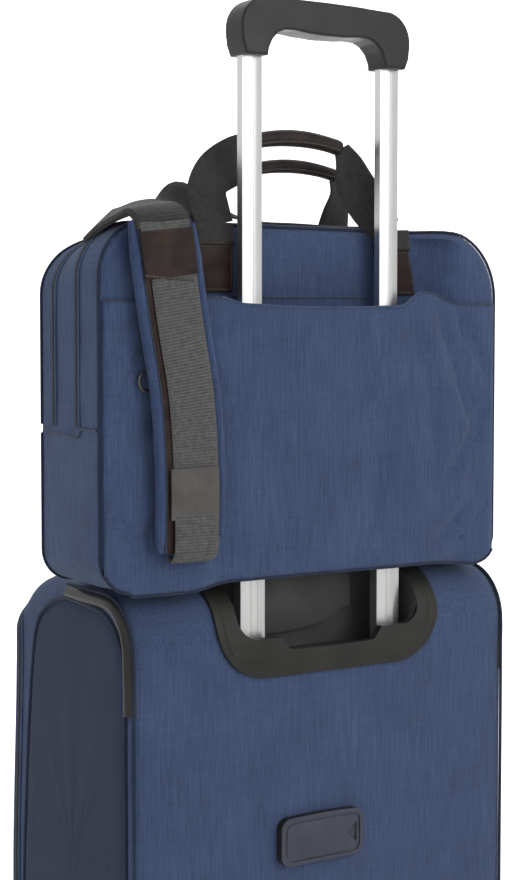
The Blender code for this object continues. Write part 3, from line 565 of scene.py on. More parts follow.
def make_side_panels():
    """The sewn side panels, in a darker cloth as painted shade, with their piping, the plastic guards over the
    back top corners and a dark cord along each guard that paints its contact shadow.
    """
    line = smooth_path(PANEL_LINE + [PANEL_LINE[0]], 5)[:-1]
    centre = (106, -240)
    levels = ((1.0, -0.6), (0.985, 0.9), (0.965, 1.7), (0.93, 2.2), (0.8, 2.6), (0.55, 2.8), (0.3, 2.8),
              (0.02, 2.8))
    for side, sign in (("left", -1), ("right", 1)):
        rings = [[at(sign * (HALF_WIDTH + out + 0.5 * ripple(y, z, 50, sign)),
                     centre[0] + (y - centre[0]) * share, centre[1] + (z - centre[1]) * share)
                  for y, z in line] for share, out in levels]
        # the side panels take the darker cloth as painted shade
        add_piece("side_panel_" + side, rings_mesh(rings), NAVY_SHADED_SIDE, "case", slot="navy_fabric")
        path = [at(sign * (HALF_WIDTH + 1.0), y, z) for y, z in line]
        sweep("seam_piping_" + side, path, disc(0.0021, 10), Vector((sign, 0, 0)), CORD, "case", True,
              replaces="side_piping_" + side, slot="piping")
        guard = [(116, -9.6), (85, -10.6)] + arc(50, -53.5, 42.5, 90, 90, 10) + [(6.6, -80), (6.2, -101)]
        guard = smooth_path(guard, 4)
        path = [at(sign * (HALF_WIDTH - 0.4), y, z) for y, z in guard]
        lean = []
        for i in range(len(path)):
            share = i / (len(path) - 1)
            lean.append(Vector((sign, -0.8 * ease((share - 0.25) * 2.4), 0.6 * ease((0.75 - share) * 2.4))))
        half = [(-0.0056, -0.0015), (0.0056, -0.0015), (0.0056, 0.0012), (0.0042, 0.0030), (0.0018, 0.0040),
                (-0.0018, 0.0040), (-0.0042, 0.0030), (-0.0056, 0.0012)]
        sweep("corner_guard_moulding_" + side, path, half, lean, GUARD, "case",
              replaces="corner_guard_" + side, slot="black_plastic")
        # Dark cord round the guard's outer edge and down the back edge: below the guard it is the back edge
        # piping, along the guard it is painted contact shadow of the guard.
        rim = [(118, -3.8), (85, -4.4)] + arc(50, -53.5, 48.8, 90, 90, 8)
        rim = smooth_path(rim + [(1.2, -80), (1.0, -106), (1.0, -250), (1.4, -430)], 4)
        path = [at(sign * (HALF_WIDTH - 1.2), y, z) for y, z in rim]
        sweep("back_edge_piping_" + side, path, disc(0.0015, 8), Vector((sign, 0, 0)), CORD, "case",
              slot="piping")


def beside(path, outs, offset, lift=0.0):
    """A path moved sideways over its surface by so many metres."""
    moved = []
    for i, point in enumerate(path):
        ahead = (path[min(i + 1, len(path) - 1)] - path[max(i - 1, 0)]).normalized()
        moved.append(point + ahead.cross(outs[i]).normalized() * offset + outs[i] * lift)
    return moved


def make_zip(name, path, outs, body, lip=0.0046):
    """A closed zip: dark tape, a coil of teeth and a rolled cloth lip along each side."""
    sweep(name + "_tape", path, band(2 * lip, 0.0007), outs, CORD, body, slot="piping")
    raised = [p + o * 0.0008 for p, o in zip(path, outs)]
    sweep(name + "_teeth", raised, disc(0.0017, 8, 0.7), outs, TEETH, body, slot="black_plastic")
    for word, sign in (("near", -1), ("far", 1)):
        sweep("%s_lip_%s" % (name, word), beside(path, outs, sign * lip, 0.0003), disc(0.0017, 8, 0.8), outs,
              NAVY, body, slot="navy_fabric")


def make_case_zip():
    """The zip between shell and lid: up the left side, over the top and down the right side."""
    path, outs = [], []
    for z in range(-440, -75, 12):
        path.append(at(-200.3, 212.6, z))
        outs.append(Vector((-1, 0, 0)))
    for i in range(13):
        turn = math.pi / 2 * (1 - i / 12)
        w = 1 - math.cos(turn)
        radius, centre_y, centre_z = 70 + 14 * w, 159 - 21 * w, -70 - 25 * w
        reach = 212.6 - centre_y
        height = centre_z + math.sqrt(radius ** 2 - reach ** 2)
        path.append(at(-165 - 35.3 * math.sin(turn), 212.6, height))
        outs.append(Vector((-math.sin(turn), 0.6 * math.cos(turn), 0.6 * math.cos(turn))).normalized())
    path += [at(-165 + 22 * i, 212.6, -24.4) for i in range(1, 8)]
    outs += [Vector((0, 0.6, 0.6)).normalized()] * 7
    mirrored = [Vector((-p.x, p.y, p.z)) for p in reversed(path)]
    flipped = [Vector((-o.x, o.y, o.z)) for o in reversed(outs)]
    make_zip("case_zip", [bellied(p) for p in path + mirrored], outs + flipped, "case")


def make_lid_pocket():
    """The stuffed pocket on the lid, swollen by a short cloth run, with its piping and zip."""
    outline = rounded_box(-157, 157, -452, -133, (30, 30, 30, 30), 8, (6, 6, 6, 6))
    levels = ((0.90, 229.5), (1.0, 229.5), (1.0, 235), (0.985, 240), (0.955, 243), (0.90, 244.5))
    middle = (0, -292)
    shape = rings_mesh([[at(middle[0] + (x - middle[0]) * s, y, middle[1] + (z - middle[1]) * s)
                         for x, z in outline] for s, y in levels])
    pocket = melt(solid("stuffed_lid_pocket", shape), 0.006)
    rest = [v.co.copy() for v in pocket.data.vertices]
    cloth = pocket.modifiers.new("cloth", "CLOTH")
    cloth.settings.use_pressure = True
    cloth.settings.uniform_pressure_force = 4
    cloth.settings.effector_weights.gravity = 0
    for step in range(1, 17):
        bpy.context.scene.frame_set(step)
    apply(pocket)
    bpy.context.scene.frame_set(1)
    for vertex, start in zip(pocket.data.vertices, rest):
        move = vertex.co - start
        if move.length > 0.005:
            vertex.co = start + move.normalized() * 0.005
        vertex.co.y = max(vertex.co.y, at(0, 229.2, 0).y)
    for vertex in pocket.data.vertices:
        vertex.co = bellied(vertex.co)
    piece = moulding(pocket, NAVY, "lid", replaces="lid_pocket", slot="navy_fabric")
    piece.modifiers.new("finer", "SUBSURF").levels = 1
    piece.modifiers["finer"].render_levels = 1
    apply(piece)
    edge = [at(x * 1.012, 231, middle[1] + (z - middle[1]) * 1.012) for x, z in outline]
    sweep("pocket_piping", [bellied(p) for p in edge], disc(0.0021, 10), FORWARD, CORD, "lid", True,
          slot="piping")
    line = [at(-130 + 10 * i, 245.5 + 1.0 * math.sin(math.pi * i / 26), -170) for i in range(27)]
    make_zip("lid_pocket_zip", [bellied(p) for p in line], [FORWARD] * 27, "lid")


# ------------------------------------------------------------------ hard parts of the case

def refine(node, paint, width, body, slot, segments=2):
    """A copy of a CAD piece with its sharp edges rounded as a mould leaves them."""
    shape = bmesh.new()
    shape.from_mesh(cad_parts[node].data)
    raw = solid(node + "_copy", shape)
    raw.data.materials.clear()
    soften(raw, width, segments)
    shape = bmesh.new()
    shape.from_mesh(raw.data)
    bpy.data.objects.remove(raw)
    return add_piece(node + "_moulded", shape, paint, body, node, slot)


def make_cup():
    """The handle cup: a bezel wrapped over the back top edge, with a recess and a finger notch."""
    skin, radius, steps = 3.4, 50, 20
    over = arc(radius, -radius, radius + skin, 180, -90, steps)
    under = arc(radius, -radius, radius + 0.2, 90, 90, steps)
    profile = [(-skin, -82)] + over + [(66, skin), (66, 0.2)] + under + [(-0.2, -82)]
    base = solid("handle_cup_moulding", prism(profile, -122, 122, "YZ"))
    front = rounded_box(-119.5, 119.5, -81.0, 90, (50, 50, 10, 10), 16)
    bucket = rounded_box(-103.5, 103.5, 1, 51.5, (14, 14, 12, 12), 6)
    room = rounded_box(-98, 98, 4.2, 46, (12, 12, 12, 12), 8)
    gate = rounded_box(-98, 98, -47, 60, (20, 20, 8, 8), 10)
    notch = [(-57, -40), (-55, -46)] + [(-46, -57.6), (-40, -58.6), (0, -59.2), (40, -58.6), (46, -57.6)]
    notch += [(55, -46), (57, -40)]
    plate = [(-93, -1), (-93, -52), (-55, -52), (-20, -51), (10, -48), (28, -43), (38, -36), (46, -33),
             (50, -33), (50, -1)]
    reach = [(-30, -90)] + arc(radius, -radius, radius + 1.2, 180, -90, steps) + [(90, 1.2), (90, -90)]
    limit = prism(reach, -140, 140, "YZ")
    tub = carve(solid("tub", prism(bucket, -68, 12, "XY")), [(limit, "INTERSECT")])
    tub_shape = bmesh.new()
    tub_shape.from_mesh(tub.data)
    bpy.data.objects.remove(tub)
    tools = [(prism(front, -20, 100, "XZ"), "INTERSECT"), (tub_shape, "UNION"),
             (prism(room, -66, 50, "XY"), "DIFFERENCE"), (prism(gate, -20, 22, "XZ"), "DIFFERENCE"),
             (prism(notch, -20, 4.5, "XZ"), "DIFFERENCE"), (prism(plate, 40, 47, "XZ"), "UNION")]
    for sign in (-1, 1):
        hole = rounded_box(sign * POLE_X - 13, sign * POLE_X + 13, 11.5, 26.5, (4, 4, 4, 4), 5)
        tools.append((prism(hole, -80, -50, "XY"), "DIFFERENCE"))
    cup = carve(base, tools)
    soften(cup, 0.0016, 4, 30)
    piece = moulding(cup, PLASTIC, "case", replaces="handle_cup", slot="black_plastic", second=CUP_PLASTIC)
    inside = at(97.5, 3.4, -67)
    for face in piece.data.polygons:
        c = face.center
        face.material_index = int(abs(c.x) < 0.0985 and c.y > inside.y and c.y < at(0, 46.5, 0).y
                                  and c.z > inside.z and c.z < at(0, 0, 0.5).z)
    crease = smooth_path([(-112, -12), (-111.5, -30), (-108, -48), (-99, -62), (-88, -68)], 6)
    for side, sign in (("left", -1), ("right", 1)):
        path, outs = [], []
        for x, z in crease:
            drop = max(z + 50, 0.0)
            reach = math.sqrt(max((radius + skin) ** 2 - drop ** 2, 0.0))
            path.append(at(-sign * x, radius - reach + 0.35, z))
            outs.append(Vector((0, -reach, drop)).normalized())
        sizes = [0.35 + 0.65 * math.sin(math.pi * i / (len(path) - 1)) for i in range(len(path))]
        sweep("cup_crease_" + side, path, disc(0.0022, 10, 0.45), outs, PLASTIC, "case", sizes=sizes,
              slot="black_plastic")


def pole_section(wide, deep, grooves):
    """A drawn tube's section in millimetres, with lengthwise grooves on its two broad faces."""
    half_x, half_y, cut, fall = wide / 2, deep / 2, wide * 0.3, deep * 0.13

    def face(low, high, y, sign):
        points = [(low, y)]
        for middle in grooves:
            for dx, dy in ((-0.55, 0), (-0.3, 0.45), (0.3, 0.45), (0.55, 0)):
                points.append((sign * middle + sign * dx, y - math.copysign(dy, y)))
        return points + [(high, y)]
    near = face(-half_x + cut, half_x - cut, -half_y, 1)
    far = face(half_x - cut, -half_x + cut, half_y, -1)
    right = [(half_x, -half_y + fall), (half_x, half_y - fall)]
    left = [(-half_x, half_y - fall), (-half_x, -half_y + fall)]
    return near + right + far + left


def make_poles():
    """The drawn tubes of both moving stages."""
    for side, sign in (("left", -1), ("right", 1)):
        for stage, wide, deep, grooves in (("upper", 20, 11, (0.0,)), ("lower", 25, 14, (-3.4, 3.4))):
            node = "%s_tube_%s" % (stage, side)
            low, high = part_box(node)
            section = [(sign * POLE_X + u, POLE_Y + v) for u, v in pole_section(wide, deep, grooves)]
            rings = [[Vector((at(u, v, 0).x, at(u, v, 0).y, z)) for u, v in section] for z in (low.z, high.z)]
            add_piece(node + "_drawn", rings_mesh(rings), POLE, stage + "_stage", node, "pole_metal", 25)


def make_grip():
    """The moulded grip: round shoulders, a palm swell underneath and two tapering arms."""
    right = [(62.5, 452), (84.5, 452), (88.5, 462), (89.5, 474)] + arc(64, 476, 25.5, 0, 80, 10)
    top = [(30, 502.4), (0, 502.8), (-30, 502.4)]
    left = [(-x, z) for x, z in reversed(right)]
    under = [(-62.0, 458), (-58.5, 466), (-52, 472.5), (-44, 475.6), (-34, 475.8), (-20, 474.4)]
    outline = right + top + left + under + [(0, 473.8)] + [(-x, z) for x, z in reversed(under)]
    base = solid("moulded_grip", prism(outline, 5, 33, "XZ"))
    side_view = [(12.4, 440), (25.6, 440), (26.2, 456), (28.6, 466), (31.1, 478), (30.8, 488)]
    side_view += arc(22.5, 493.5, 9.2, 20, 70, 8) + [(19, 503)]
    side_view += [(38 - y, z) for y, z in reversed(side_view[:-1])]
    grip = carve(base, [(prism(side_view, -100, 100, "YZ"), "INTERSECT")])
    melt(grip, 0.0010, 10)
    moulding(grip, SATIN, "upper_stage", replaces="telescopic_grip", slot="satin_grip", angle=70)
    plate = rounded_box(-17.5, 17.5, 12.5, 25.5, (4, 4, 4, 4), 6)
    button = soften(solid("push_button", prism(plate, 497.0, 504.0, "XY")), 0.0013, 4)
    moulding(button, PLASTIC, "button", replaces="release_button", slot="black_plastic")
    surround = rounded_box(-22, 22, 10.8, 27.2, (5, 5, 5, 5), 6)
    collar = carve(solid("button_surround", prism(surround, 499.5, 503.0, "XY")),
                   [(prism(rounded_box(-18, 18, 12, 26, (4, 4, 4, 4), 6), 490, 510, "XY"), "DIFFERENCE")])
    moulding(soften(collar, 0.0008), SATIN, "upper_stage", slot="satin_grip")


def make_tag():
    """The luggage tag holder: a rimmed frame, bowed along its top, with a pointed thumb mark at one end."""
    low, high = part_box("id_tag_frame")
    middle = (low.x + high.x) * 500
    outer = rounded_box(-44, 44, -249, -207.5, (9, 9, 9, 9), 8, (6, 1, 10, 1))
    outer = [(middle + u, w + (1.5 * (1 - (u / 44) ** 2) if w > -215 else 0)) for u, w in outer]
    holder = solid("tag_holder", prism(outer, -7.8, -0.3, "XZ"))
    groove = [(middle + (u - middle) * 0.92, -228 + (w + 228) * 0.84) for u, w in outer]
    window = [(middle + (u - middle) * 0.86, -228 + (w + 228) * 0.74) for u, w in outer]
    slit = [(middle - 38, -243.5), (middle + 60, -243.5), (middle + 60, -212.5), (middle - 38, -212.5)]
    mark = [(middle + 37, -219), (middle + 37, -238), (middle + 27.5, -228.5)]
    carve(holder, [(prism(groove, -20, -6.6, "XZ"), "DIFFERENCE"),
                   (prism(window, -7.3, -6.2, "XZ"), "UNION"),
                   (prism(mark, -20, -5.4, "XZ"), "DIFFERENCE"),
                   (prism(slit, -4.9, -3.1, "XZ"), "DIFFERENCE")])
    piece = moulding(soften(holder, 0.0007), TAG_PLASTIC, "case", replaces="id_tag_frame", slot="black_plastic",
                     second=PLASTIC)
    for face in piece.data.polygons:
        c = (face.center.x * 1000 - middle, (face.center.z - TOP) * 1000 + 228)
        face.material_index = int(abs(c[0]) > 37.5 or abs(c[1]) > 15.6)
    for name, run in (("upper", (mark[0], mark[2])), ("lower", (mark[2], mark[1]))):
        path = [at(a, -6.9, b) for a, b in run]
        sweep("tag_mark_" + name, path, disc(0.0006, 8), BACKWARD, GUARD, "case", slot="black_plastic")
    refine("id_tag_insert", CARD, 0.0003, "tag_insert", "tag_card")


def make_soft_handle(name, points, outs, node):
    """A padded webbing carry handle with a wrapped middle."""
    path = [Vector(p) for p in smooth_path(points, 6)]
    outs = [Vector(o) for o in smooth_path(outs, 6)]
    sweep(name, path, band(0.024, 0.0042, 0.0012), outs, WEB, "case", replaces=node, slot="grey_webbing")
    count = len(path)
    first, last = round(count * 0.32), round(count * 0.68)
    core = [p - o * 0.0014 for p, o in zip(path, outs)][first:last]
    wrap = sweep(name + "_wrap", core, band(0.0265, 0.0066, 0.0015), outs[first:last], GRIP_HIDE, "case",
                 slot="brown_leather")


def make_case_hardware():
    """Everything moulded or metal on the case."""
    for side in ("left", "right"):
        refine("wheel_housing_" + side, PLASTIC, 0.0018, "case", "black_plastic", 3)
        refine("front_foot_" + side, PLASTIC, 0.0010, "case", "black_plastic", 3)
        refine("wheel_tyre_" + side, RUBBER, 0.0009, "wheel_" + side, "rubber")
        refine("wheel_hub_" + side, PLASTIC, 0.0007, "wheel_" + side, "black_plastic")
        refine("lower_collar_" + side, PLASTIC, 0.0008, "lower_stage", "black_plastic", 3)
        for node in ("axle_", "release_rod_"):
            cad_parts[node + side].data.materials[0] = STEEL
        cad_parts["outer_tube_" + side].data.materials[0] = POLE
    refine("tube_base_bracket", PLASTIC, 0.0008, "case", "black_plastic")
    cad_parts["tube_cover_panel"].data.materials[0] = LINING
    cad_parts["button_spring"].data.materials[0] = STEEL
    top = [at(-85, 140, 3.2), at(-66, 140, 4.0), at(-38, 140, 15.2), at(0, 140, 19.0)]
    top += [Vector((-p.x, p.y, p.z)) for p in reversed(top[:3])]
    make_soft_handle("top_handle_strap", top, [(0, 0, 1)] * len(top), "top_carry_handle")
    side = [at(202.6, 100, -335), at(204, 100, -315), at(220, 100, -288), at(223.5, 100, -250)]
    side += [Vector((p.x, p.y, 2 * at(0, 0, -250).z - p.z)) for p in reversed(side[:3])]
    make_soft_handle("side_handle_strap", side, [(1, 0, 0)] * len(side), "side_carry_handle")
    for side, x in (("left", -72), ("right", 72)):
        outline = rounded_box(x - 19, x + 19, 125, 155, (4, 4, 4, 4), 4)
        seat = soften(solid("handle_seat_" + side, prism(outline, 0, 3.4, "XY")), 0.0008)
        moulding(seat, PLASTIC, "case", slot="black_plastic")


# ------------------------------------------------------------------ laptop bag

BAG_MIDDLE = (-19, 156)


def bag_line(pieces=(26, 16, 26, 16), steps=12):
    """The bag's outline in x and z, seen from its back, starting at the bottom left corner."""
    return rounded_box(BAG_LEFT, BAG_RIGHT, BAG_FOOT, BAG_TOP, (27, 24, 60, 48), steps, pieces)


def droop(x, y, z):
    """How far the bag's top sinks towards its front at both corners, in millimetres."""
    return 15 * ease((y - 22) / 70) * ease((z - 170) / 130) * ease((abs(x + 19) - 105) / 80)


def push_in(x):
    """How far the two poles press the bag's back forwards, in millimetres."""
    return 33.6 * ease((x + 168) / 46) * ease((150 - x) / 38)


def back_depth(x, z, reach):
    """Depth of the bag's back face; reach goes from 0 in the middle to 1 at the outline."""
    folds = 1.6 * ripple(x, z, 42, 3.0) + 2.2 * ripple(x + z, z - x, 90, 7.0)
    corner = 2.4 * math.exp(-((x + 205) ** 2 + (z - 40) ** 2) / 700) * ripple(x - z, 0, 9, 1.0)
    return 2.6 + push_in(x) + (folds + corner) * ease((1 - reach) * 8) - 1.5 * ease((1 - reach) * 5)


def make_bag_skins():
    """The bag's body and the flap of its front compartment, cut apart along the cross seam."""
    line = bag_line()
    cx, cz = BAG_MIDDLE
    rings = []
    for share in (0.02, 0.12, 0.24, 0.36, 0.48, 0.60, 0.70, 0.79, 0.86, 0.91, 0.945):
        rings.append([at(cx + (x - cx) * share, back_depth(cx + (x - cx) * share, cz + (z - cz) * share, share),
                         cz + (z - cz) * share) for x, z in line])
    for i in range(7):
        turn = math.pi / 2 * i / 6
        share = 0.962 + 0.038 * math.sin(turn)
        rings.append([at(cx + (x - cx) * share, 2.6 + push_in(x) + 6.5 * (1 - math.cos(turn)),
                         cz + (z - cz) * share) for x, z in line])
    for i in range(1, 14):
        t = i / 13

        def side_point(x, z):
            start = 9.1 + push_in(x)
            y = start + (105 - start) * t
            puff = (1.0 + 1.2 * ripple(y + z, x, 45, 5.0)) * math.sin(math.pi * t)
            out = Vector((x - cx, z - cz)).normalized() * puff
            return at(x + out.x, y, z + out.y - droop(x, y, z))
        rings.append([side_point(x, z) for x, z in line])
    for i in range(1, 8):
        turn = math.pi / 2 * i / 7
        share = 1 - 0.05 * (1 - math.cos(turn))
        rings.append([at(cx + (x - cx) * share, 105 + 10 * math.sin(turn),
                         cz + (z - droop(x, 105, z) - cz) * share) for x, z in line])
    for share in (0.90, 0.82, 0.72, 0.60, 0.48, 0.36, 0.24, 0.12, 0.02):
        rings.append([at(cx + (x - cx) * share,
                         115 + 2.2 * ease((0.95 - share) * 3)
                         + ripple(x * share, z * share, 60, 9.0) * ease((0.95 - share) * 5),
                         cz + (z - droop(x, 105, z) - cz) * share) for x, z in line])
    shape = rings_mesh(rings)
    bmesh.ops.recalc_face_normals(shape, faces=shape.faces)
    split = at(0, 88, SEAM)
    body, flap = divide(shape, [(split, FORWARD), (split, Vector((0, 0, 1)))],
                        lambda c: c.z < split.z or c.y < split.y)
    skin = add_piece("bag_cloth_body", body, NAVY, "bag", "bag_body", "navy_fabric", 60)
    thicken(skin, 0.0026, LINING)
    front = add_piece("bag_cloth_flap", flap, NAVY, "flap", "bag_front_flap", "navy_fabric", 60)
    thicken(front, 0.0026, LINING)


def bag_run(depth, low, lift):
    """Path up the bag's left side, over its top and down its right side at a depth, with outward directions."""
    line = bag_line((40, 30, 40, 30), 14)
    start = max(range(len(line)), key=lambda i: -line[i][0] - abs(line[i][1] - low) * 5)
    ordered = [line[(start - i) % len(line)] for i in range(len(line))]
    kept = [p for p in ordered if p[1] >= low - 1]
    path, outs = [], []
    for i, (x, z) in enumerate(kept):
        a, b = kept[max(i - 1, 0)], kept[min(i + 1, len(kept) - 1)]
        out = Vector((-(b[1] - a[1]), 0, b[0] - a[0])).normalized()
        y = max(depth, 12.6 + push_in(x))
        path.append(at(x, y, z - droop(x, y, z)) + out * lift * 0.001)
        outs.append(out)
    return path, outs


def make_bag_seams():
    """Zips, piping and seams of the bag."""
    for name, depth in (("rear_zip", 40.5), ("front_zip", 82.5)):
        path, outs = bag_run(depth, SEAM - 2, 1.0)
        make_zip("bag_" + name, path, outs, "bag", 0.0036)
    line = bag_line((40, 30, 40, 30), 14)
    rim = [at(x * 0.9985, 5.0 + push_in(x), 0.6 + z * 0.998) for x, z in line]
    outs = []
    for i in range(len(line)):
        a, b = line[i - 1], line[(i + 1) % len(line)]
        outs.append(Vector((b[1] - a[1], -(abs(b[1] - a[1]) + abs(b[0] - a[0])), a[0] - b[0])).normalized())
    path = [p + Vector((o.x, 0, o.z)) * 0.0006 for p, o in zip(rim, outs)]
    sweep("bag_back_piping", path, disc(0.0014, 10), outs, CORD, "bag", True, slot="piping")
    front = [at(x, 107.5, z - droop(x, 105, z)) + Vector((o.x, 0, o.z)).normalized() * 0.0004
             for (x, z), o in zip(line, outs)]
    for name, keep, body in (("lower", lambda z: z < SEAM - 0.5, "bag"),
                             ("upper", lambda z: z > SEAM + 0.5, "flap")):
        picked = [i for i, (x, z) in enumerate(line) if keep(z)]
        first = next(i for i in picked if (i - 1) % len(line) not in picked)
        order = [(first + k) % len(line) for k in range(len(picked))]
        sweep("bag_front_piping_" + name, [front[i] for i in order], disc(0.0014, 10),
              [Vector((outs[i].x, 0.3, outs[i].z)) for i in order], CORD, body, slot="piping")
    for side, x, sign in (("left", -228.6, -1), ("right", 190.6, 1)):
        steps = [(8, 136.5), (20, 136.5), (34, 136), (37, 131.5), (60, 131), (90, 131), (104, 132)]
        seam = smooth_path(steps, 4)
        path = [at(x + sign * 0.7 * math.sin(math.pi * min(max((y - 8) / 96, 0), 1)), y, z) for y, z in seam]
        sweep("cross_seam_" + side, path, disc(0.0011, 8), Vector((sign, 0, 0)), THREAD, "bag", slot="piping")
    path = [at(-224 + 10 * i, 116.8, SEAM - 5.5) for i in range(42)]
    sweep("front_cross_seam", path, disc(0.0014, 8), FORWARD, CORD, "bag", slot="piping")
    pocket = [at(-205 + 10 * i, 117.2, 172) for i in range(38)]
    make_zip("pocket_zip", pocket, [FORWARD] * 38, "flap")
    upper = [at(x, back_depth(x, 247, 0.6) + 0.3, 247.5 + 0.6 * math.sin(x * 0.05)) for x in range(-80, 69, 6)]
    sweep("back_panel_seam", upper, disc(0.0009, 8), BACKWARD, THREAD, "bag", slot="navy_fabric")


def mouth(x):
    """Height of the sleeve's top edge: sewn to the back at both sides, dipping where the poles come out."""
    dip = 238.2 + 2.6 * ((x + 8) / 93) ** 2 * ease((150 - abs(x + 8)) / 40)
    return dip + 4.5 * ease((-x - 90) / 24) + 12.0 * ease((x - 76) / 26) - 6.5 * ease((x - 104) / 40)


def sill(x):
    """Height of the sleeve's lower edge: round with the bag's corners, arched a little over the handle cup."""
    low = -1.2 + 6.4 * ease((x + 150) / 50) * ease((200 - x) / 90)
    for past, radius in ((-201 - x, 27), (x - 166, 24)):
        if past > 0:
            low = max(low, 2.0 + radius - math.sqrt(radius ** 2 - past ** 2))
    return low


FOLDS = [(-220, 196, -182, 238, 3.6, 5.6), (-222, 140, -180, 208, 4.0, 6.0), (-222, 90, -172, 150, 4.6, 5.2),
         (-220, 66, -176, 26, 4.6, 4.6), (-205, 30, -168, 70, 5.0, 2.6), (120, 236, 168, 120, 6.0, 4.6),
         (146, 232, 180, 176, 5.0, 3.2), (178, 150, 130, 84, 6.0, 3.4), (180, 60, 120, 30, 6.5, 3.6),
         (100, 200, 118, 110, 6.0, 2.6), (-60, 120, -44, 20, 8.0, 1.8), (60, 150, 50, 40, 8.0, 1.8)]


def creases(x, z):
    """Height of the soft folds in the sleeve, each along a line with a width and a height in millimetres."""
    total = 0.0
    for x0, z0, x1, z1, width, height in FOLDS:
        dx, dz = x1 - x0, z1 - z0
        along = ((x - x0) * dx + (z - z0) * dz) / (dx * dx + dz * dz)
        off = ((x - x0) * dz - (z - z0) * dx) / math.hypot(dx, dz)
        total += height * math.exp(-(off / width) ** 2) * ease(along * 3 + 0.4) * ease((1 - along) * 3 + 0.4)
    return total


def make_sleeve():
    """The sleeve panel: one sheet of cloth held at the bag's sides, with soft creases."""
    columns, rows = 92, 54
    grid = []
    for r in range(rows + 1):
        t = r / rows
        row = []
        for c in range(columns + 1):
            x = SLEEVE_LEFT + SLEEVE_WIDTH * c / columns
            z = sill(x) + (mouth(x) - sill(x)) * t
            free = ease((x + 222) / 40) * ease((184 - x) / 40)
            y = 1.2 + 2.2 * free * ripple(x, z * 0.35, 26, 2.0) + 3.6 * free * ripple(x * 0.6, z * 0.5, 60, 4.0)
            y += creases(x, z) - 1.0
            corner = 3.0 * (1 - ease(min(x - SLEEVE_LEFT, SLEEVE_LEFT + SLEEVE_WIDTH - x, z - sill(x) + 2) / 9))
            row.append(at(x, min(max(y, -1.6), 8.5) + corner * 0.4, z))
        grid.append(row)
    sheet = add_piece("sleeve_cloth", rings_mesh(grid, False, False), NAVY, "bag", "sleeve_panel",
                      "navy_fabric", 70)
    skin = sheet.modifiers.new("cloth", "SOLIDIFY")
    skin.thickness, skin.offset = 0.0010, 0
    bpy.context.view_layer.update()
    apply(sheet)
    edge = [(p, p.x * 1000) for p in grid[rows]]
    hem = sweep("sleeve_hem", [p for p, x in edge if STITCH_LEFT - 1 < x < STITCH_RIGHT + 1], disc(0.0012, 8),
                BACKWARD, NAVY, "bag", slot="navy_fabric")
    for name, low, high in (("left", BAG_LEFT, STITCH_LEFT), ("right", STITCH_RIGHT, BAG_RIGHT)):
        path = [p + Vector((0, -0.0007, -0.0006)) for p, x in edge if low < x < high]
        sweep("sleeve_seam_" + name, path, disc(0.0007, 6), BACKWARD, THREAD, "bag", slot="navy_fabric")
    foot = [grid[0][c] + Vector((0, -0.0003, 0.0002)) for c in range(columns + 1)]
    sweep("sleeve_foot_piping", foot, disc(0.0014, 8), BACKWARD, CORD, "bag", slot="piping")


# ------------------------------------------------------------------ handles of the bag

def strap(name, stations, thick, paint, body, steps=7, **more):
    """A limp strap through rows of (x, y, z, half-width vector), all in millimetres."""
    rows = smooth_path(stations, steps)
    path = [at(*row[:3]) for row in rows]
    outs, sizes = [], []
    for i, row in enumerate(rows):
        ahead = path[min(i + 1, len(path) - 1)] - path[max(i - 1, 0)]
        half = Vector(row[3:6])
        outs.append(half.cross(ahead).normalized())
        sizes.append(half.length / 19.0)
    return sweep(name, path, band(0.038, thick, 0.0003), outs, paint, body, sizes=sizes, **more)


def make_grip_roll(name, middle, height, depth, thick, body, node):
    """A rolled leather grip with tapered ends and a stitched seam along its underside."""
    path, sizes = [], []
    for i in range(25):
        s = -1 + 2 * i / 24
        path.append(at(middle + 48 * s, depth, height - 6 * s * s))
        sizes.append(0.93 + 0.05 * math.cos(3 * s) if abs(s) < 0.9 else 0.93 - 0.9 * (abs(s) - 0.9))
    roll = sweep(name, path, disc(thick, 20), BACKWARD, GRIP_HIDE, body, sizes=sizes, replaces=node,
                 slot="brown_leather")
    seam = [p + Vector((0, -0.82, -0.45)) * thick for p in path[1:-1]]
    sweep(name + "_seam", seam, disc(0.0008, 6), Vector((0, -1, -0.4)), BROWN_THREAD, body, slot="brown_leather")


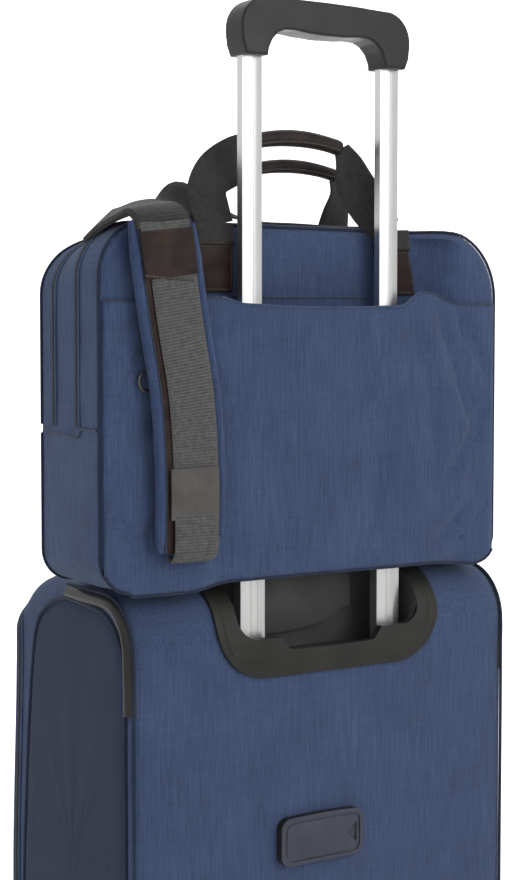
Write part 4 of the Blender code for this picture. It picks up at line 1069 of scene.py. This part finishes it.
def make_bag_handles():
    """Near and far carry handles: leather tabs, webbing roots, twisting legs and rolled grips."""
    for side, middle in (("left", -101.5), ("right", 92.5)):
        slant = 0.0 if side == "left" else 0.22
        patch = [(u + slant * (280 - w), w)
                 for u, w in rounded_box(middle - 19.5, middle + 19.5, 251, 296, (3, 3, 1.5, 1.5), 4)]
        tab = soften(solid("leather_tab_" + side, prism(patch, 31.6, 34.6, "XZ")), 0.0007)
        moulding(tab, LEATHER, "bag", replaces="near_tab_" + side, slot="brown_leather")
        frame_line = [at(middle + u + slant * (280 - z), 31.5, z) for u, z in
                      rounded_box(-17.3, 17.3, 253.5, 290.5, (2, 2, 1, 1), 3, (8, 8, 8, 8))]
        sweep("tab_stitching_" + side, frame_line, disc(0.0005, 6), BACKWARD, BROWN_THREAD, "bag", True,
              slot="brown_leather")
        root = [at(middle - slant * (0.5 * i + 6), 31.4 + 0.15 * i, 292 + 2.6 * i) for i in range(8)]
        sweep("webbing_root_" + side, root, band(0.0385, 0.0018), BACKWARD, WEB, "bag", slot="grey_webbing")
        fold = [at(middle - 19.5 - slant * 12 + 3.9 * i, 31.2, 293.5) for i in range(11)]
        sweep("tab_fold_" + side, fold, disc(0.0021, 10, 0.8), BACKWARD, GRIP_HIDE, "bag",
              slot="brown_leather")
    near = {"right": [(88, 34.0, 309, 19, 0, 0), (78, 38, 320, 18.5, -3, 2), (68, 41, 333, 18, -5, 4),
                      (58, 45, 352, 15, -7, 7), (53.5, 48.5, 369, 12, -2, 8), (46, 50, 384, 5, 0, 7)],
            "left": [(-99.5, 34.0, 309, 19, 0, 0), (-102, 37, 322, 17.5, -3, -1), (-104, 40, 336, 16, -6, -2),
                     (-93, 45, 355, 14, -7, -8), (-71, 49, 374.5, 8, -2, -10), (-52, 50, 385, 4, 0, -7)]}
    far = {"right": [(81, 115, 309, 19, 0, 0), (79, 106, 332, 17, 3, 1), (74, 95, 352, 11, 3, 4),
                     (66, 88, 363, 6, 0, 7)],
           "left": [(-90, 115, 309, 19, 0, 0), (-80, 106, 332, 15, 3, -6), (-58, 95, 352, 8, 3, -10),
                    (-31, 88, 364, 5, 0, -8)]}
    for side in ("left", "right"):
        strap("near_leg_" + side, near[side], 0.0018, WEB, "near_handle", replaces="near_web_" + side,
              slot="grey_webbing")
        strap("far_leg_" + side, far[side], 0.0018, WEB, "far_handle", replaces="far_web_" + side,
              slot="grey_webbing")
    make_grip_roll("near_rolled_grip", -4.5, 389.5, 50, 0.0077, "near_handle", "near_grip")
    make_grip_roll("far_rolled_grip", 18, 369, 88, 0.0065, "far_handle", "far_grip")


# ------------------------------------------------------------------ shoulder strap

def pad_rows(lift):
    """Centre line of the hanging pad, at so many millimetres in front of its middle, every few millimetres."""
    keys = [(-177, -8, 306), (-166.5, -9, 230), (-155, -9.5, 161), (-151, -9.5, 100), (-151, -9, 35)]
    return [(x, y - lift, z) for x, y, z in smooth_path(keys, 12)]


def on_pad(name, high, low, width, thick, lift, paint, shift=0.0, crown=0.0, **more):
    """A layer sewn on the pad between two heights."""
    rows = [row for row in pad_rows(lift) if low - 3 <= row[2] <= high + 3]
    path = [at(x + shift, y, z) for x, y, z in rows]
    return sweep(name, path, band(width, thick, crown), BACKWARD, paint, "shoulder_pad", **more)


def make_shoulder_pad():
    """The pad with its rolled bindings, leather backing, webbing and retainers."""
    path = [at(*row) for row in pad_rows(-4.0)]
    core = sweep("pad_core", path, band(0.058, 0.0068, 0.0010), BACKWARD, NAVY, "shoulder_pad",
                 replaces="strap_pad", slot="navy_fabric")
    on_pad("pad_leather_backing", 306, 30, 0.048, 0.0010, 4.0, LEATHER, slot="brown_leather")
    for side, sign in (("left", -1), ("right", 1)):
        rows = [row for row in pad_rows(1.2) if row[2] > 37 + 4 * sign]
        path = [at(x + sign * 28.6, y, z) for x, y, z in rows]
        sizes = [min(1.0, 0.6 + 0.1 * i, 0.5 + 0.25 * (len(rows) - 1 - i)) for i in range(len(rows))]
        roll = sweep("pad_binding_" + side, path, disc(0.0046, 14, 0.92), BACKWARD, BINDING,
                     "shoulder_pad", sizes=sizes, slot="navy_fabric")
        sewn = [at(x + sign * 25.0, y, z) for x, y, z in pad_rows(4.9)]
        sweep("pad_stitching_" + side, sewn, disc(0.0006, 6), BACKWARD, THREAD, "shoulder_pad",
              slot="navy_fabric")
    on_pad("pad_wide_web", 306, 290, 0.046, 0.0016, 5.4, WEB_PAD, slot="grey_webbing")
    on_pad("pad_top_retainer", 297, 262, 0.0500, 0.0016, 6.6, LEATHER, crown=0.0004,
           replaces="strap_retainer_top", slot="brown_leather")
    edge = [at(-196 + 5 * i, -16.6, 261.8 - 0.35 * i) for i in range(10)]
    sweep("retainer_edge", edge, disc(0.0008, 6), BACKWARD, BROWN_THREAD, "shoulder_pad",
          slot="brown_leather")
    on_pad("pad_web", 262, 60, 0.0430, 0.0018, 5.6, WEB_PAD, 2.4, replaces="strap_web", slot="grey_webbing")
    on_pad("pad_bottom_patch", 103, 60, 0.0460, 0.0014, 7.6, GLOSSY_HIDE, 0.5, crown=0.0006,
           replaces="strap_retainer_bottom", slot="brown_leather")
    turn = [(-149, -16.8, 66), (-149, -17.2, 54), (-149, -17.0, 42), (-149, -15.0, 33),
            (-149, -9.5, 28), (-149, -4.5, 31)]
    strap("pad_web_turn", [(*row, -21, 0, 0) for row in turn], 0.0018, WEB_PAD, "shoulder_pad",
          slot="grey_webbing")
    oval = [at(-188.5 + 6.0 * math.cos(a), -1.9, 176 + 7.5 * math.sin(a))
            for a in (2 * math.pi * i / 28 for i in range(28))]
    sweep("strap_ring", oval, disc(0.0012, 10), BACKWARD, GUNMETAL, "shoulder_pad", True,
          replaces="strap_buckle", slot="steel")


def make_strap_runs():
    """Where the strap goes over the bag's top: back from the pad, and off to the right behind the handle."""
    over = [(-177, -8.5, 300, 27, 0, 0), (-177.5, -7.0, 308, 27, 0, 0), (-180, 0, 314, 27, 0, 2),
            (-185, 14, 314.5, 26, 0, 8), (-191, 34, 311, 24, 0, 13), (-197, 56, 303, 22, 0, 17)]
    strap("strap_over_top", over, 0.0040, WEB, "bag",
          replaces="strap_top_fold", slot="grey_webbing")
    cap = [(-176.5, -13.6, 292, 22.5, 0, 0), (-177.5, -12.8, 302, 22.5, 0, 0), (-179, -6.5, 311.5, 22.5, 0, 1),
           (-181, 2, 318, 22, 0, 2.5), (-184, 14, 318, 20, 0, 6)]
    strap("strap_top_web", cap, 0.0018, WEB_PAD, "bag", slot="grey_webbing")
    right = [(-152, 26, 310.5, 4, 12, 0), (-143, 40, 314.5, 4, 12, 5), (-130, 56, 322, 4, 12, 10),
             (-110, 68, 333, 0, 9, 15), (-82, 68, 327, 0, 13, 10), (-50, 66, 316.5, 0, 18, 4),
             (-10, 66, 312.5, 0, 19, 0), (40, 66, 311.5, 0, 19, 0), (100, 66, 311, 0, 19, 0),
             (135, 66, 304, 0, 19, 0)]
    strap("strap_run", [(x, y, z, -a, -b, -c) for x, y, z, a, b, c in right], 0.0018, WEB, "bag", 5,
          replaces="strap_run_right", slot="grey_webbing")


def make_sliders():
    """Zip sliders with their pulls, and a cord loop on the front pocket's."""
    for node, body in (("case_zip_slider", "case_zip"), ("rear_zip_slider", "rear_zip"),
                       ("front_zip_slider", "front_zip"), ("pocket_zip_slider", "pocket_zip")):
        refine(node, STEEL, 0.0005, body, "steel")
    loop = [(-213, 120, 160), (-214.5, 121, 151), (-215, 121.5, 143), (-213.2, 121.5, 138.5),
            (-211.4, 121.5, 143), (-211.8, 121, 151), (-213, 120, 160)]
    path = [at(*row) for row in smooth_path(loop, 6)]
    sweep("pull_loop", path, disc(0.0010, 8), FORWARD, BROWN_THREAD, "pocket_zip", slot="brown_leather")


def make_bag_inside():
    """The padded wall between the laptop and document compartments."""
    outline = rounded_box(-219.5, 181.5, 9, 269, (24, 24, 8, 8), 6)
    wall = soften(solid("padded_divider", prism(outline, 67.4, 71.4, "XZ")), 0.0014)
    piece = moulding(wall, LINING, "bag", replaces="laptop_divider", slot="lining")


# ------------------------------------------------------------------ stage, light and camera

def studio_paper():
    """Pale paper that glows softly, more towards the backdrop."""
    paper = Finish("studio_paper", (0.93, 0.93, 0.93), 0.9, Specular_IOR_Level=0.1, Emission_Strength=1.0)
    x, y = paper.axes()[:2]
    beside_it = x * math.cos(BACKDROP_TURN) - y * math.sin(BACKDROP_TURN)
    behind = paper.stretch(x * math.sin(BACKDROP_TURN) + y * math.cos(BACKDROP_TURN), 0.3, 1.5)
    behind = behind * (1 - paper.stretch(beside_it * beside_it, 2, 14) * 0.75)
    paper.feed(Emission_Color=paper.blend(behind, (0.12, 0.12, 0.12), (0.97, 0.97, 0.97)),
               Base_Color=paper.blend(paper.speckle(0.4, detail=1.0), (0.71, 0.71, 0.71), (0.73, 0.73, 0.73)))
    return paper.material


def make_stage():
    """A pale round floor that curves up into walls on every side."""
    profile = [(0.001, 0.0), (1.0, 0.0), (2.2, 0.0), (3.6, 0.0)]
    turns = [math.pi / 2 * i / 16 for i in range(1, 17)]
    profile += [(3.6 + 1.6 * math.sin(a), 1.6 - 1.6 * math.cos(a)) for a in turns]
    profile.append((5.2, 9.0))
    rings = [[Vector((r * math.cos(t), r * math.sin(t), z)) for t in (math.pi * i / 48 for i in range(96))]
             for r, z in profile]
    shape = rings_mesh(rings, True, False)
    mesh = bpy.data.meshes.new("studio_floor")
    shape.to_mesh(mesh)
    shape.free()
    floor = bpy.data.objects.new("studio_floor", mesh)
    bpy.context.scene.collection.objects.link(floor)
    mesh.materials.append(studio_paper())
    mesh.shade_smooth()


def add_light(name, place, aim, size, power, colour=(1, 1, 1)):
    lamp = bpy.data.lights.new(name, "AREA")
    lamp.shape, lamp.size, lamp.size_y = "RECTANGLE", size[0], size[1]
    lamp.energy, lamp.color = power, colour
    lit = bpy.data.objects.new(name, lamp)
    lit.location = place
    lit.rotation_euler = (Vector(aim) - Vector(place)).to_track_quat("-Z", "Y").to_euler()
    bpy.context.scene.collection.objects.link(lit)


def make_light_and_camera():
    """Soft studio light, stronger from the right, and the camera."""
    world = bpy.data.worlds.new("studio")
    bpy.context.scene.world = world
    world.use_nodes = True
    world.node_tree.nodes["Background"].inputs["Color"].default_value = (1, 1, 1, 1)
    world.node_tree.nodes["Background"].inputs["Strength"].default_value = 0.24
    add_light("key", (1.0, -3.0, 1.9), (0, 0, 0.75), (1.6, 2.2), 31)
    add_light("fill", (-2.6, -1.6, 1.4), (0, 0, 0.7), (1.4, 2.0), 1.5)
    add_light("top", (0.2, 0.2, 3.2), (0, 0, 0.6), (1.6, 1.6), 10)
    view = bpy.data.cameras.new("camera")
    view.lens, view.sensor_width, view.sensor_fit = 71.607, 36, "AUTO"
    camera = bpy.data.objects.new("camera", view)
    camera.location = at(-896.2, -1249.7, 211.6)
    camera.rotation_euler = (math.radians(86.67), 0, math.radians(-33.06))
    bpy.context.scene.collection.objects.link(camera)
    bpy.context.scene.camera = camera
    bpy.context.scene.view_settings.view_transform = "Standard"


make_case_skins()
make_side_panels()
make_case_zip()
make_lid_pocket()
make_cup()
make_poles()
make_grip()
make_tag()
make_case_hardware()
make_bag_skins()
make_bag_seams()
make_sleeve()
make_bag_handles()
make_shoulder_pad()
make_strap_runs()
make_sliders()
make_bag_inside()
make_stage()
make_light_and_camera()
